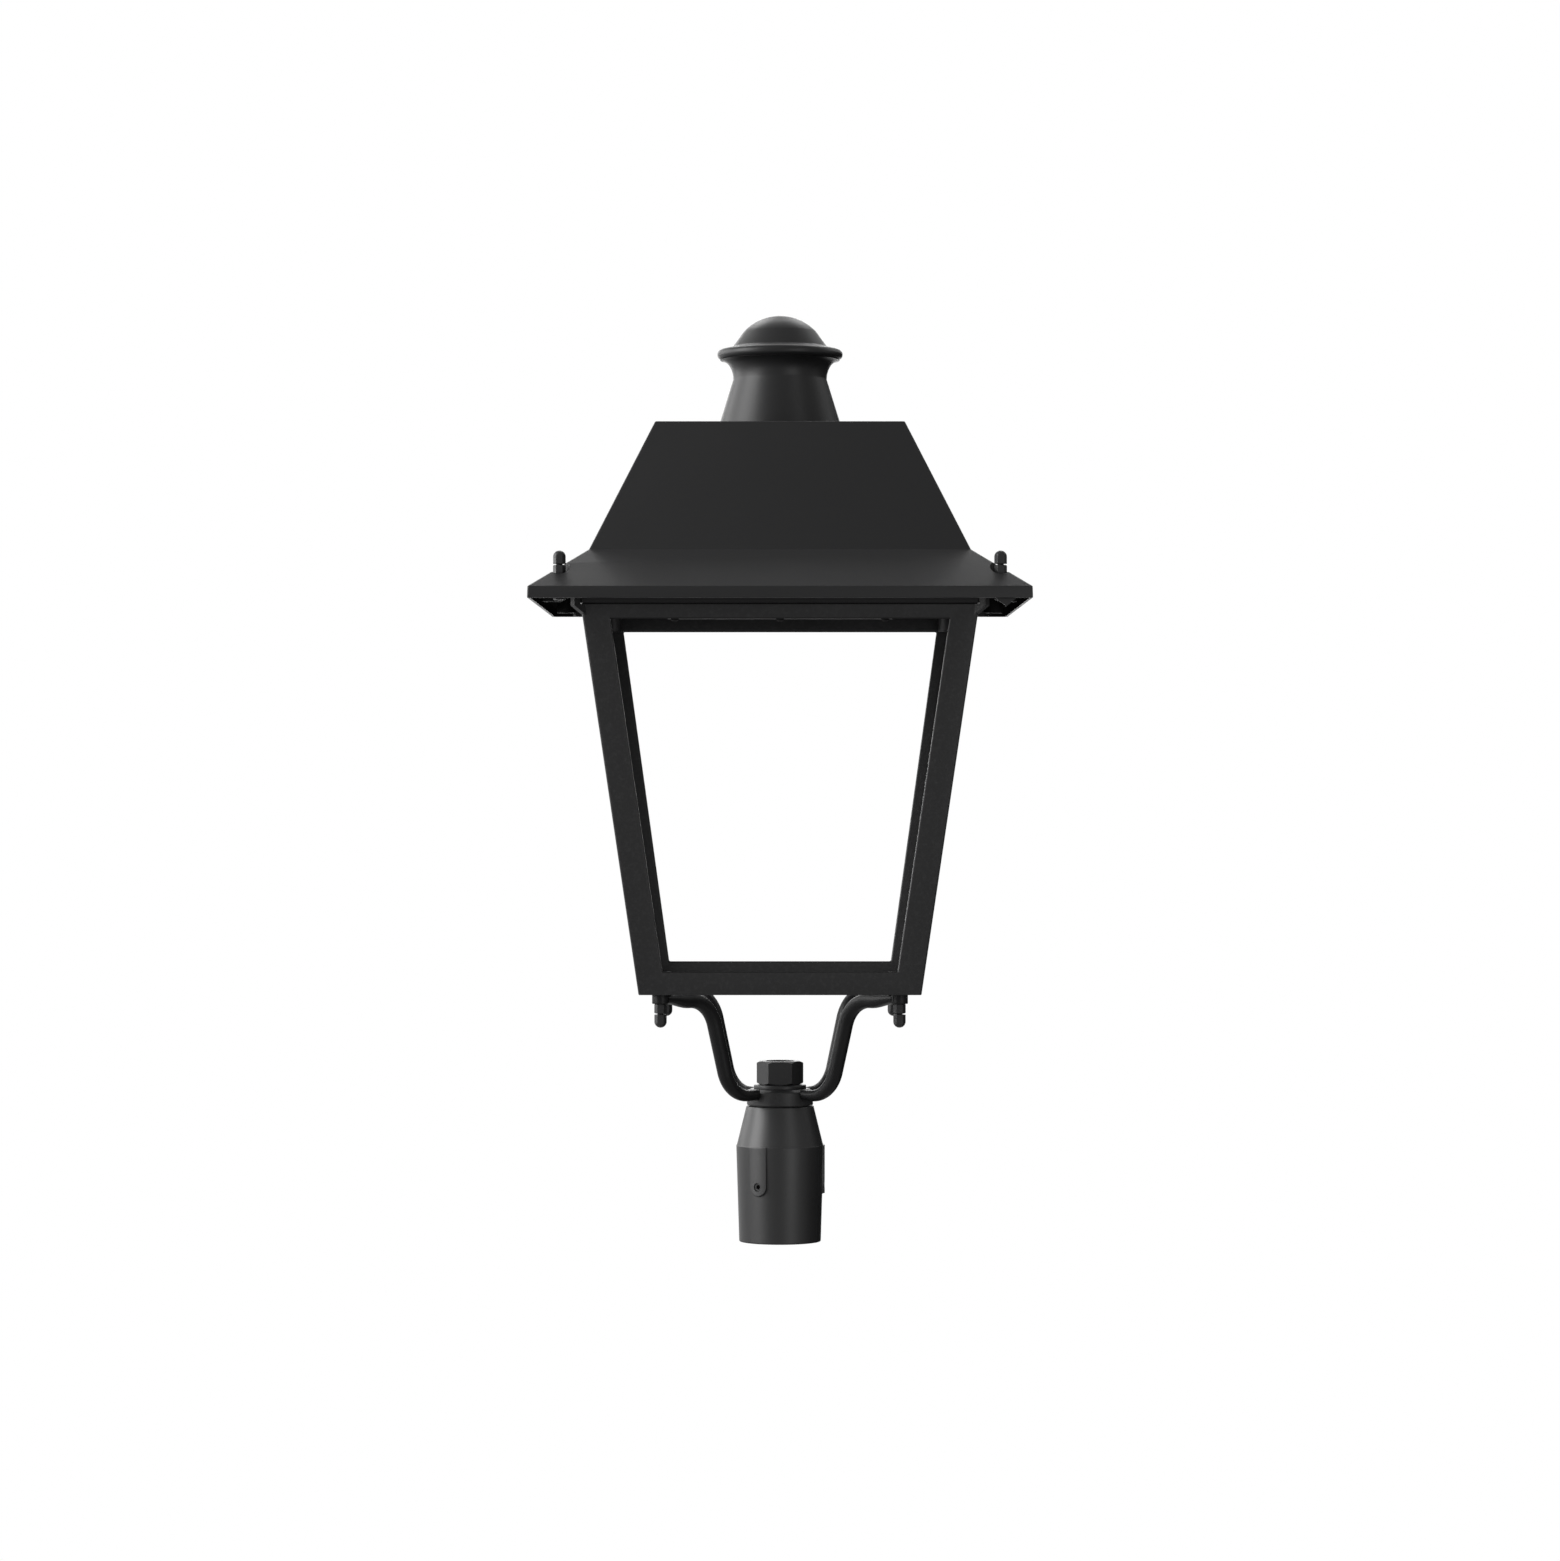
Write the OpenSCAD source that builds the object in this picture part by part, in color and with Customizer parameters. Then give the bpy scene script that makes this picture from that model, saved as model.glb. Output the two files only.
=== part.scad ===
// Four-sided LED post lantern. Millimetres, +Z up, the front faces -Y.
// The origin is the centre of the socket's mouth, where the post goes in.

/* [Post socket] */
// Diameter of the post that goes into the socket
post_d = 60; // [58:0.5:64]
// Radial play between the post and the socket
post_play = 0.5; // [0.3:0.1:0.5]
// Wall of the socket at its mouth
mouth_wall = 7.8; // [7:0.2:10]
// Wall of the socket at the top of its straight body
body_wall = 10.5; // [10:0.25:13]
// Height of the socket's body, up to the foot of its cone
body_h = 90.5; // [84:0.5:110]
// Depth that the post goes in
post_depth = 84; // [70:1:84]
// Height of the cone above the body
cone_h = 36.4; // [32:0.4:50]
// Radius of the flat top of the cone
cone_top_r = 31.5; // [28:0.5:34]
// Step in at the foot of the cone
cone_step = 0.6; // [0.2:0.1:1.5]
// Thickness of the web that the threaded tube passes through
web_h = 14.9; // [10:0.1:18]
// Width of the raised pads around the set screws
pad_w = 18; // [14:0.5:22]
// How far the pads stand out past the top of the body
pad_proud = 1; // [0.5:0.1:2]
// Height of the set screws above the mouth
set_screw_z = 53.4; // [40:0.2:62]
// Thread diameter of the set screws
set_screw_d = 8; // [6:0.5:10]
// Length of the set screws
set_screw_len = 9.8; // [8:0.2:10]
// How far the tips of the set screws stay back from the bore
set_screw_back = 0.4; // [0.2:0.1:1]

/* [Threaded tube] */
// Outer diameter of the tube
tube_d = 26.9; // [24:0.1:30]
// Wall of the tube
tube_wall = 2.65; // [2:0.05:4]
// Width across the flats of the clamp nut
clamp_nut_af = 38; // [36:0.5:46]
// Height of the clamp nut
clamp_nut_h = 22.2; // [14:0.2:26]
// Radius of the clamp washer
clamp_washer_r = 24.5; // [22:0.5:28]
// Thickness of the clamp washer
clamp_washer_h = 3.7; // [2:0.1:5]
// Height of the nut inside the socket
back_nut_h = 8; // [6:0.5:12]
// Thickness of the washer that the lantern turns on
turn_washer_h = 0.9; // [0.5:0.1:2]
// Radius of the washer that the lantern turns on
turn_washer_r = 27; // [22:0.5:28]

/* [Fork] */
// Radius of the hub
hub_r = 31; // [28:0.5:34]
// Height of the hub
hub_h = 15.3; // [14:0.1:20]
// Diameter of the arms
rod_d = 14; // [11:0.5:18]
// Diameter of the arms where they meet the hub
rod_root_d = 9; // [8:0.2:12]
// Height of the arms' roots above the hub's underside
root_rise = 10.4; // [7:0.2:10.6]
// Height from the hub's underside to the underside of the frame
fork_h = 108.5; // [95:0.5:130]
// Lean of the steep part of an arm, from upright
arm_lean = 16.6; // [12:0.1:20]
// Radius of the arms' upper bend
upper_bend_r = 32.5; // [24:0.5:36]
// Radius of the arms' lower bend
lower_bend_r = 31.5; // [24:0.5:36]
// Distance from a fork bolt in to the corner that the upper bend rounds
foot_run = 61.8; // [54:0.2:70]
// Thickness of the eye at an arm's foot
eye_h = 8.8; // [6:0.2:11]
// Diameter of the eye at an arm's foot
eye_d = 15.5; // [14:0.5:20]

/* [Frame] */
// Width of the frame at its underside
frame_bottom_w = 257.6; // [240:0.4:300]
// Width of the frame at its top
frame_top_w = 358.6; // [330:0.4:364]
// Height of the frame
frame_h = 353.9; // [300:0.5:450]
// Width of the face of a corner post
post_face = 24.8; // [20:0.4:32]
// Wall of the posts and rings
frame_wall = 7; // [5:0.5:10]
// Height of the bottom ring
bottom_ring_h = 21.2; // [16:0.4:30]
// Height of the top ring
top_ring_h = 13.1; // [11:0.1:18]
// Rounding of the frame's edges
edge_r = 2; // [0.5:0.25:2.5]
// Width of the glass ledge inside the bottom ring
ledge_w = 9; // [5:0.5:12]
// Thickness of the glass ledge
ledge_h = 4; // [3:0.5:6]
// Distance of the fork bolts from the outside of the frame
bolt_inset = 19.6; // [16:0.2:22]
// Thickness of the pads that the fork bolts pass through
bolt_pad_h = 8; // [6:0.5:12]

/* [Roof] */
// How far the rim stands out past the top of the frame
roof_overhang = 45.7; // [42:0.1:60]
// Height of the rim
rim_h = 10.4; // [8:0.2:16]
// Gap between the top of the frame and the rim
rim_lift = 3.7; // [3.4:0.1:6]
// Width of the skirt, from the rim in to the steep upper roof
skirt_w = 52.7; // [48:0.1:60]
// Height of the skirt
skirt_h = 35.4; // [33:0.2:45]
// Width of the steep upper roof, from the skirt in to the flat top
upper_w = 58; // [46:0.5:70]
// Height of the steep upper roof
upper_h = 120.1; // [100:0.5:160]
// Thickness of the roof's sheet
roof_wall = 3; // [2:0.25:4]
// How far the roof studs stand out past the top of the frame
stud_reach = 18.1; // [16:0.1:20]
// How far the ears that carry the studs stand out past the frame's corners, along the diagonal
ear_reach = 9.7; // [8:0.1:11]
// Diameter of the pocket around each roof nut
pocket_d = 19; // [17:0.5:21]
// Height of the pocket's floor above the rim's lower edge
pocket_floor = 22.1; // [18:0.1:24]
// Width of the small pointed tab under the front rim
tab_w = 18.7; // [12:0.1:24]
// Depth of the small pointed tab
tab_h = 7.6; // [4:0.1:10]
// Distance from the side of the roof to the point of the tab
tab_inset = 23.7; // [20:0.1:60]

/* [Chimney] */
// Radius of the foot of the neck
neck_foot_r = 58.7; // [50:0.1:70]
// Radius of the neck's waist
neck_waist_r = 43.9; // [38:0.1:48]
// Height of the waist above the roof
neck_waist_h = 47.9; // [35:0.1:65]
// Height of the neck
neck_h = 66.6; // [60:0.1:90]
// Radius of the neck's lip
neck_lip_r = 56; // [53:0.1:62]
// Wall of the neck and the cap
chimney_wall = 3; // [2:0.25:4]
// Radius of the cap's collar
collar_r = 58.8; // [56:0.1:66]
// Thickness of the rolled edge of the collar
collar_h = 9.4; // [7:0.1:12]
// Radius of the foot of the dome
dome_foot_r = 43.5; // [36:0.1:46]
// Height of the dome's foot above the neck
dome_foot_h = 12.2; // [10.5:0.1:16]
// Radius where the dome's cone meets its round top
dome_break_r = 34; // [26:0.1:36]
// Height of that break above the neck
dome_break_h = 26.3; // [20:0.1:30]
// Height of the cap above the neck
cap_h = 41.1; // [38:0.1:50]
// Diameter of the tie rod that holds the chimney down
tie_rod_d = 8; // [6:0.5:10]

/* [Fasteners] */
// Thread diameter of the roof studs and fork bolts
stud_d = 6; // [5:0.5:7]
// Width across the flats of their nuts
nut_af = 10; // [9:0.5:11]
// Height of the roof nuts
roof_nut_h = 8.3; // [5:0.1:10]
// Height of the fork nuts
fork_nut_h = 8.8; // [5:0.1:10]
// Height of the cap nuts
cap_nut_h = 12; // [10:0.1:15]
// Gap between a nut and its cap nut
cap_nut_gap = 1; // [0.5:0.1:2]
// Play between a thread and the hole that it is in
thread_play = 0.05; // [0.03:0.01:0.08]

/* [Light unit] */
// Overhang of the gear tray past the top of the frame
tray_overhang = 3.5; // [1:0.5:8]
// Thickness of the gear tray
tray_t = 2; // [1.5:0.25:3]
// Height of the edge that is folded up round the tray
tray_lip_h = 2.4; // [1.5:0.1:2.5]
// Thickness of the gasket under the tray
gasket_t = 1.2; // [0.8:0.1:1.4]
// Width of the heat sink
sink_w = 216; // [200:1:240]
// Thickness of the heat sink's base
sink_base_h = 12; // [10:0.5:16]
// Height of the fins
fin_h = 34; // [20:1:45]
// Thickness of a fin
fin_t = 2.5; // [1.5:0.25:4]
// Number of fins
fin_count = 15; // [9:1:21]
// Width of the clear window under the light
window_w = 176; // [150:1:180]
// Width of the glass
glass_w = 188; // [184:1:196]
// Thickness of the glass
glass_t = 4; // [3:0.5:5]
// Thickness of the bezel
bezel_t = 4; // [3.5:0.25:6]
// Thickness of the bezel's ledge under the glass
bezel_ledge_t = 1.2; // [1:0.1:2]
// Depth of the pocket for the circuit board in the heat sink
board_pocket_h = 6.6; // [6:0.2:8]
// Thickness of the circuit board
board_t = 1.6; // [1:0.1:2.4]
// Number of lenses along each side of the light
lens_rows = 6; // [4:1:8]
// Diameter of a lens
lens_d = 17; // [12:0.5:18]
// Height of a lens
lens_h = 3.2; // [2:0.1:3.2]
// Thickness of the plate that carries the lenses
lens_plate_t = 1.5; // [1:0.1:2]

/* [Control gear] */
// Length of the driver's case
driver_l = 150; // [110:1:170]
// Width of the driver's case
driver_w = 56; // [40:1:60]
// Height of the driver's case
driver_h = 34; // [24:1:38]
// Length of the surge protector
surge_l = 52; // [40:1:70]
// Width of the surge protector
surge_w = 36; // [24:1:44]
// Height of the surge protector
surge_h = 24; // [18:1:30]
// Number of ways of the terminal block
terminal_ways = 5; // [3:1:6]
// Pitch of the ways
terminal_pitch = 11; // [8:0.5:14]
// Diameter of the hole through the cable gland
gland_bore_d = 9; // [6:0.5:9]

/* [Hidden] */

$fn = 96;
// A small amount that a cutting solid runs past the face that it opens
cut = 1;

// Width of the shoulder that the post's top meets
post_stop_w = 6.5;

// Heights of the stack over the post
bore_r = post_d / 2 + post_play;
mouth_r = bore_r + mouth_wall;
body_r = bore_r + body_wall;
pad_r = body_r + pad_proud;
socket_h = body_h + cone_h;
web_z = socket_h - web_h;
tube_r = tube_d / 2;
tube_bore_r = tube_r - tube_wall;
tube_hole_r = tube_r + thread_play;
cavity_r = bore_r - post_stop_w;
hub_z = socket_h + turn_washer_h;
hub_top = hub_z + hub_h;
clamp_nut_z = hub_top + clamp_washer_h;
clamp_nut_top = clamp_nut_z + clamp_nut_h;
back_nut_z = web_z - back_nut_h;
set_screw_angles = [0, 120, 240];
set_screw_tip_r = bore_r + set_screw_back;

// Heights and half widths of the frame
frame_z = hub_z + fork_h;
frame_top = frame_z + frame_h;
bottom_ring_top = frame_z + bottom_ring_h;
top_ring_z = frame_top - top_ring_h;
bolt_x = frame_bottom_w / 2 - bolt_inset;
function frame_half(z) = frame_bottom_w / 2 + (frame_top_w - frame_bottom_w) / 2 * (z - frame_z) / frame_h;
QUARTERS = [[-1, -1], [1, -1], [1, 1], [-1, 1]];

// The path of an arm, in the upright plane through two opposite corners
foot_r = bolt_x * sqrt(2);
run_z = frame_z - rod_d / 2;
root_z = hub_z + root_rise;

// The roof
rim_z = frame_top + rim_lift;
roof_w = frame_top_w + 2 * roof_overhang;
stud_x = frame_top_w / 2 + stud_reach;
pocket_z = rim_z + pocket_floor;
roof_top = rim_z + rim_h + skirt_h + upper_h;
rim_draft = 0.3;
shoulder_half = roof_w / 2 - rim_draft - skirt_w;
roof_levels = [
    [roof_w / 2, rim_z],
    [roof_w / 2 - rim_draft, rim_z + rim_h],
    [shoulder_half, rim_z + rim_h + skirt_h],
    [shoulder_half - upper_w, roof_top]];
roof_fold_r = 1.2;
boss_wall = 2.5;
boss_r = pocket_d / 2 + boss_wall;
stud_r = stud_d / 2;
stud_hole_r = stud_r + thread_play;
roof_hole_r = stud_r + 0.4;
roof_cap_nut_z = pocket_z + roof_nut_h + cap_nut_gap;
head_h = 4;

// The ears at the frame's corners: a web round the corner of the tray, and a lug on top for the stud
corner_r = frame_top_w / 2 * sqrt(2);
ear_r = corner_r + ear_reach;
ear_t = 7.3;
ear_w = 9;
ear_foot_h = 3;
ear_droop = 1.7;
lug_w = 16;
lug_t = 4;
lug_z = rim_z + head_h - 0.9;

// Play where one flat face rests on another of a loose piece
seat_play = 0.02;

// The light unit, from the tray down to the glass and up to the fins
tray_z = frame_top + gasket_t;
tray_top = tray_z + tray_t;
tray_half = frame_top_w / 2 + tray_overhang;
bezel_z = tray_z - bezel_t;
glass_z = bezel_z + bezel_ledge_t;
board_z = tray_top + board_pocket_h - board_t;
fit_play = 0.4;
gasket_inset = 1.6;
bezel_half = sink_w / 2;
sink_screw_x = sink_w / 2 - 7;
tray_boss_r = 9;
tray_corner_r = ear_r - ear_t - 0.8;
side_boss_r = 9;
side_boss_y = 133;
side_boss_x = roof_w / 2 - 2 * side_boss_r - 0.5;
tray_screw_x = frame_top_w / 2 - frame_wall - tray_boss_r;
screw_d = 4;

// The control gear on the tray
gear_gap = 8;
driver_y = sink_w / 2 + gear_gap + driver_w / 2;
surge_x = -(sink_w / 2 + gear_gap + surge_w / 2);
terminal_w = 24;
terminal_h = 20;
terminal_x = sink_w / 2 + gear_gap + terminal_w / 2;
foot_l = 12;
foot_t = 2;
gland_r = 8;
gland_x = -sink_w / 2 + gland_r + 4;
gland_y = -(sink_w / 2 + gear_gap + 3 * gland_r);
gland_body_h = 6.5;
gland_nut_h = 6;

// The chimney
neck_top = roof_top + neck_h;
tie_rod_r = tie_rod_d / 2;

// A unit vector along v
function unit(v) = v / norm(v);

// The corner p between a and b, rounded to radius r with n steps; r below 0.01 leaves it sharp
function rounded_corner(a, p, b, r, n) =
    r < 0.01 ? [p] :
    let (u = unit(a - p), v = unit(b - p), half = acos(u * v) / 2)
    let (centre = p + unit(u + v) * r / sin(half))
    let (start = p + u * r / tan(half) - centre, stop = p + v * r / tan(half) - centre)
    [for (i = [0:n]) let (w = unit(start * (n - i) + stop * i)) centre + w * r];

// A closed outline with each corner rounded to its own radius
function rounded_outline(points, radii, n = 4) =
    let (count = len(points))
    [for (i = [0:count - 1])
        each rounded_corner(points[(i + count - 1) % count], points[i], points[(i + 1) % count], radii[i], n)];

// A square of a half width, with rounded corners, at height z
function square_loop(half, z, r) =
    [for (p = rounded_outline([[half, half], [-half, half], [-half, -half], [half, -half]], [r, r, r, r]))
        [p[0], p[1], z]];

// A closed skin over loops of points that all run the same way and have the same count
module skin(loops) {
    n = len(loops[0]);
    last = len(loops) - 1;
    polyhedron(
        points = [for (loop = loops) each loop],
        faces = concat(
            [[for (i = [0:n - 1]) i]],
            [for (k = [0:last - 1], i = [0:n - 1])
                [k * n + i, (k + 1) * n + i, (k + 1) * n + (i + 1) % n, k * n + (i + 1) % n]],
            [[for (i = [n - 1:-1:0]) last * n + i]]),
        convexity = 6);
}

// A square stack over levels of [half width, height]
module square_stack(levels, r = edge_r) {
    skin([for (l = levels) square_loop(l[0], l[1], r)]);
}

// A profile of [radius, height] points, turned about Z
module turned(points) {
    rotate_extrude() polygon(points);
}

// A ring between two radii
module ring(r_out, r_in, h) {
    difference() {
        cylinder(r = r_out, h = h);
        translate([0, 0, -cut]) cylinder(r = r_in, h = h + 2 * cut);
    }
}

// A hexagonal prism, flats facing +Y and -Y
module hex(af, h) {
    cylinder(r = af / sqrt(3), h = h, $fn = 6);
}

// A nut whose outer corners are chamfered at 30 degrees, at both ends or at the top only
module nut(af, h, hole_r, both = true) {
    corner = af / sqrt(3);
    flat = af / 2 - 0.3;
    rise = (corner - flat) * tan(30);
    difference() {
        intersection() {
            hex(af, h);
            turned(concat([[0, 0]], both ? [[flat, 0], [corner, rise]] : [[corner, 0]],
                [[corner, h - rise], [flat, h], [0, h]]));
        }
        translate([0, 0, -cut]) cylinder(r = hole_r, h = h + 2 * cut);
    }
}

// A domed cap nut, open at z = 0, with a blind hole
module cap_nut(af, h, hole_r) {
    dome_r = af / 2 - 0.2;
    hex_h = h - dome_r;
    difference() {
        union() {
            nut(af, hex_h, 0.01);
            translate([0, 0, hex_h - 0.8]) cylinder(r = dome_r, h = 0.8);
            intersection() {
                translate([0, 0, hex_h]) sphere(r = dome_r);
                cylinder(r = dome_r + cut, h = h);
            }
        }
        translate([0, 0, -cut]) cylinder(r = hole_r, h = h - 2.4 + cut);
    }
}

// A hexagon bolt whose head is on z = 0 and whose shank runs down
module bolt(d, len, af, head) {
    hex(af, head);
    translate([0, 0, -len]) cylinder(r = d / 2, h = len);
}

// A screw with a rounded head on z = 0 and a shank that runs down, with a hexagon socket
module button_screw(d, len) {
    difference() {
        turned([[0, 0], [d * 0.95, 0], [d * 0.95, d * 0.15], [d * 0.8, d * 0.42], [d * 0.5, d * 0.55],
            [0, d * 0.6]]);
        translate([0, 0, d * 0.2]) hex(d * 0.62, d);
    }
    translate([0, 0, -len]) cylinder(r = d / 2, h = len);
}

// Its children at the four corners of a square of half width x
module at_corners(x) {
    for (q = QUARTERS) translate([q[0] * x, q[1] * x, 0]) children();
}

// The post socket: a tapered sleeve, a cone and three raised pads
module pad() {
    intersection() {
        cylinder(r = pad_r, h = body_h);
        union() {
            translate([0, -pad_w / 2, set_screw_z]) cube([pad_r + cut, pad_w, body_h - set_screw_z]);
            translate([0, 0, set_screw_z]) rotate([0, 90, 0]) cylinder(d = pad_w, h = pad_r + cut);
        }
    }
}

module post_socket() {
    color("#2b2b2b") difference() {
        union() {
            turned([[0, 0], [mouth_r - 1, 0], [mouth_r, 1], [body_r, body_h - 0.6], [body_r - 0.4, body_h],
                [body_r - cone_step, body_h], [cone_top_r, socket_h - 0.5], [cone_top_r - 0.5, socket_h],
                [0, socket_h]]);
            for (a = set_screw_angles) rotate([0, 0, a]) pad();
        }
        translate([0, 0, -cut]) cylinder(r = bore_r, h = post_depth + cut);
        turned([[0, post_depth - cut], [cavity_r, post_depth - cut], [cavity_r, post_depth + 8],
            [cavity_r - 4, web_z], [0, web_z]]);
        translate([0, 0, web_z - cut]) cylinder(r = tube_hole_r, h = web_h + 2 * cut);
        for (a = set_screw_angles)
            rotate([0, 0, a]) translate([0, 0, set_screw_z]) rotate([0, 90, 0])
                cylinder(d = set_screw_d + 2 * thread_play, h = pad_r + cut);
    }
}

module threaded_tube() {
    color("#8a8d90") translate([0, 0, back_nut_z - 2])
        ring(tube_r, tube_bore_r, clamp_nut_top - 0.8 - back_nut_z + 2);
}

module tube_back_nut() {
    color("#8a8d90") translate([0, 0, back_nut_z]) nut(2 * cavity_r * cos(30) - 9, back_nut_h, tube_hole_r);
}

module turning_washer() {
    color("#1c1c1c") translate([0, 0, socket_h]) ring(turn_washer_r, tube_hole_r, turn_washer_h);
}

module clamp_washer() {
    color("#262626") translate([0, 0, hub_top]) difference() {
        turned([[0, 0], [clamp_washer_r, 0], [clamp_washer_r, clamp_washer_h - 1],
            [clamp_washer_r - 1, clamp_washer_h], [0, clamp_washer_h]]);
        translate([0, 0, -cut]) cylinder(r = tube_hole_r, h = clamp_washer_h + 2 * cut);
    }
}

module clamp_nut() {
    color("#262626") translate([0, 0, clamp_nut_z]) nut(clamp_nut_af, clamp_nut_h, tube_hole_r, false);
}

// A set screw in the wall of the socket, drawn back clear of the bore
module set_screw(angle) {
    color("#1d1d1f") rotate([0, 0, angle]) translate([set_screw_tip_r, 0, set_screw_z]) rotate([0, 90, 0])
        difference() {
            turned([[0, 0], [set_screw_d / 2 - 1, 0], [set_screw_d / 2, 1], [set_screw_d / 2, set_screw_len],
                [0, set_screw_len]]);
            translate([0, 0, set_screw_len - 4]) hex(set_screw_d / 2, 4 + cut);
        }
}

// The fork: a hub and four bent arms that taper into it
module fork_hub() {
    color("#2b2b2b") translate([0, 0, hub_z]) difference() {
        turned([[0, 0], [hub_r - 0.6, 0], [hub_r, 0.6], [hub_r, hub_h - 4], [hub_r - 1.2, hub_h - 1.5],
            [hub_r - 4, hub_h], [0, hub_h]]);
        translate([0, 0, -cut]) cylinder(r = tube_hole_r, h = hub_h + 2 * cut);
    }
}

// The arm's centre line is a list of [distance from the axis, height, direction]; direction is in degrees
// above the outward level. It leaves the hub level, bends up, runs steeply and bends out to the foot.
steep = 90 - arm_lean;
upper_corner_r = foot_r - foot_run;
upper_start = [upper_corner_r - tan(steep / 2) * upper_bend_r * cos(steep),
    run_z - tan(steep / 2) * upper_bend_r * sin(steep)];
// The steep run meets the lower bend where a bend from a level root ends
lower_end_z = root_z + lower_bend_r * (1 - cos(steep));
lower_end_r = upper_start[0] - (upper_start[1] - lower_end_z) / tan(steep);
lower_start_r = lower_end_r - lower_bend_r * sin(steep);
function arm_line() = concat(
    [[hub_r - 4, root_z, 0]],
    [for (i = [0:9]) let (t = steep * i / 9)
        [lower_start_r + lower_bend_r * sin(t), root_z + lower_bend_r * (1 - cos(t)), t]],
    [for (i = [0:8]) let (t = steep * (1 - i / 8))
        [upper_start[0] + upper_bend_r * (sin(steep) - sin(t)),
            upper_start[1] + upper_bend_r * (cos(t) - cos(steep)), t]]);

// The arm's section: half width and half height along the line, and how far its centre lies under the frame
function arm_half(p) =
    let (t = min(1, max(0, (p[0] - hub_r) / (lower_end_r - hub_r))))
    (rod_root_d + (rod_d - rod_root_d) * t) / 2;
function arm_ring(p, half_w, half_h, n = 20) =
    [for (i = [0:n - 1]) let (a = 360 * i / n)
        [p[0] - half_h * sin(a) * sin(p[2]), half_w * cos(a), p[1] + half_h * sin(a) * cos(p[2])]];

// The foot starts to flatten this far from the bolt, and is flat this far from it
foot_start = 34;
foot_flat = 8;
module fork_arm(sx, sy) {
    rings = concat(
        [for (p = arm_line()) arm_ring(p, arm_half(p), arm_half(p))],
        [for (i = [0:4]) let (t = i / 4, h = (rod_d + (eye_h - rod_d) * t) / 2)
            arm_ring([foot_r - foot_start + (foot_start - foot_flat) * t, frame_z - h, 0],
                (rod_d + (eye_d - rod_d) * t) / 2, h)],
        [arm_ring([foot_r, frame_z - eye_h / 2, 0], eye_d / 2 - 1, eye_h / 2)]);
    color("#2b2b2b") rotate([0, 0, atan2(sy, sx)]) difference() {
        union() {
            skin(rings);
            translate([foot_r, 0, frame_z - eye_h]) cylinder(d = eye_d, h = eye_h);
        }
        cylinder(r = hub_r, h = frame_z);
        translate([foot_r, 0, frame_z - eye_h - cut]) cylinder(r = stud_hole_r, h = eye_h + 2 * cut);
    }
}

// The fork bolts pass down through the frame's pads and the arms' eyes
module fork_bolts() {
    shank = bolt_pad_h + eye_h + fork_nut_h + cap_nut_gap + cap_nut_h - 4;
    color("#1d1d1f") at_corners(bolt_x) translate([0, 0, frame_z + bolt_pad_h])
        bolt(stud_d, shank, nut_af, head_h);
}

module fork_nuts() {
    color("#1d1d1f") at_corners(bolt_x) translate([0, 0, frame_z - eye_h - fork_nut_h])
        nut(nut_af, fork_nut_h, stud_hole_r);
}

module fork_cap_nuts() {
    color("#1d1d1f") at_corners(bolt_x)
        translate([0, 0, frame_z - eye_h - fork_nut_h - cap_nut_gap]) rotate([180, 0, 0])
            cap_nut(nut_af, cap_nut_h, stud_hole_r);
}

// The frame: two rings and four leaning corner posts of angle section, each of two mitred legs
module bottom_ring() {
    color("#2b2b2b") difference() {
        union() {
            difference() {
                square_stack([[frame_half(frame_z) - 1, frame_z], [frame_half(frame_z + 1), frame_z + 1],
                    [frame_half(bottom_ring_top), bottom_ring_top]]);
                square_stack([[frame_half(frame_z - cut) - frame_wall, frame_z - cut],
                    [frame_half(bottom_ring_top + cut) - frame_wall, bottom_ring_top + cut]], edge_r / 2);
            }
            ledge();
            for (q = QUARTERS) in_quarter(q[0], q[1]) bolt_pad();
        }
        at_corners(bolt_x) translate([0, 0, frame_z - cut])
            cylinder(r = stud_hole_r, h = bolt_pad_h + 2 * cut);
    }
}

module ledge() {
    outer = frame_half(frame_z) - frame_wall + 1;
    inner = frame_half(frame_z) - frame_wall - ledge_w;
    translate([0, 0, frame_z]) difference() {
        translate([-outer, -outer, 0]) cube([2 * outer, 2 * outer, ledge_h]);
        translate([-inner, -inner, -cut]) cube([2 * inner, 2 * inner, ledge_h + 2 * cut]);
    }
}

// A square pad in a corner of the bottom ring, under the head of a fork bolt
module bolt_pad() {
    low = bolt_x - nut_af / sqrt(3) - 5;
    side = frame_half(frame_z) - frame_wall + 1 - low;
    translate([low, low, frame_z]) cube([side, side, bolt_pad_h]);
}

// The angle section of a post, with its outer corner at the origin and its legs along -X and -Y. Points 2 and 15
// lie on the mitre where the two legs meet.
post_outline = rounded_outline(
    [[0, 0], [-post_face, 0], [-post_face, -frame_wall], [-frame_wall, -frame_wall],
        [-frame_wall, -post_face], [0, -post_face]],
    [edge_r, edge_r, edge_r, 0, edge_r, edge_r]);
FACE_LEG = [for (i = [2:15]) i];
SIDE_LEG = concat([for (i = [15:25]) i], [0, 1, 2]);
function leg_loop(leg, z) =
    [for (i = leg) let (p = post_outline[i]) [p[0] + frame_half(z), p[1] + frame_half(z), z]];

module corner_post(sx, sy, leg) {
    color("#2b2b2b") in_quarter(sx, sy) skin([leg_loop(leg, bottom_ring_top), leg_loop(leg, top_ring_z)]);
}

// Mirrors its child into the quarter that has the signs sx and sy
module in_quarter(sx, sy) {
    mirror([sx < 0 ? 1 : 0, 0, 0]) mirror([0, sy < 0 ? 1 : 0, 0]) children();
}

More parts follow.
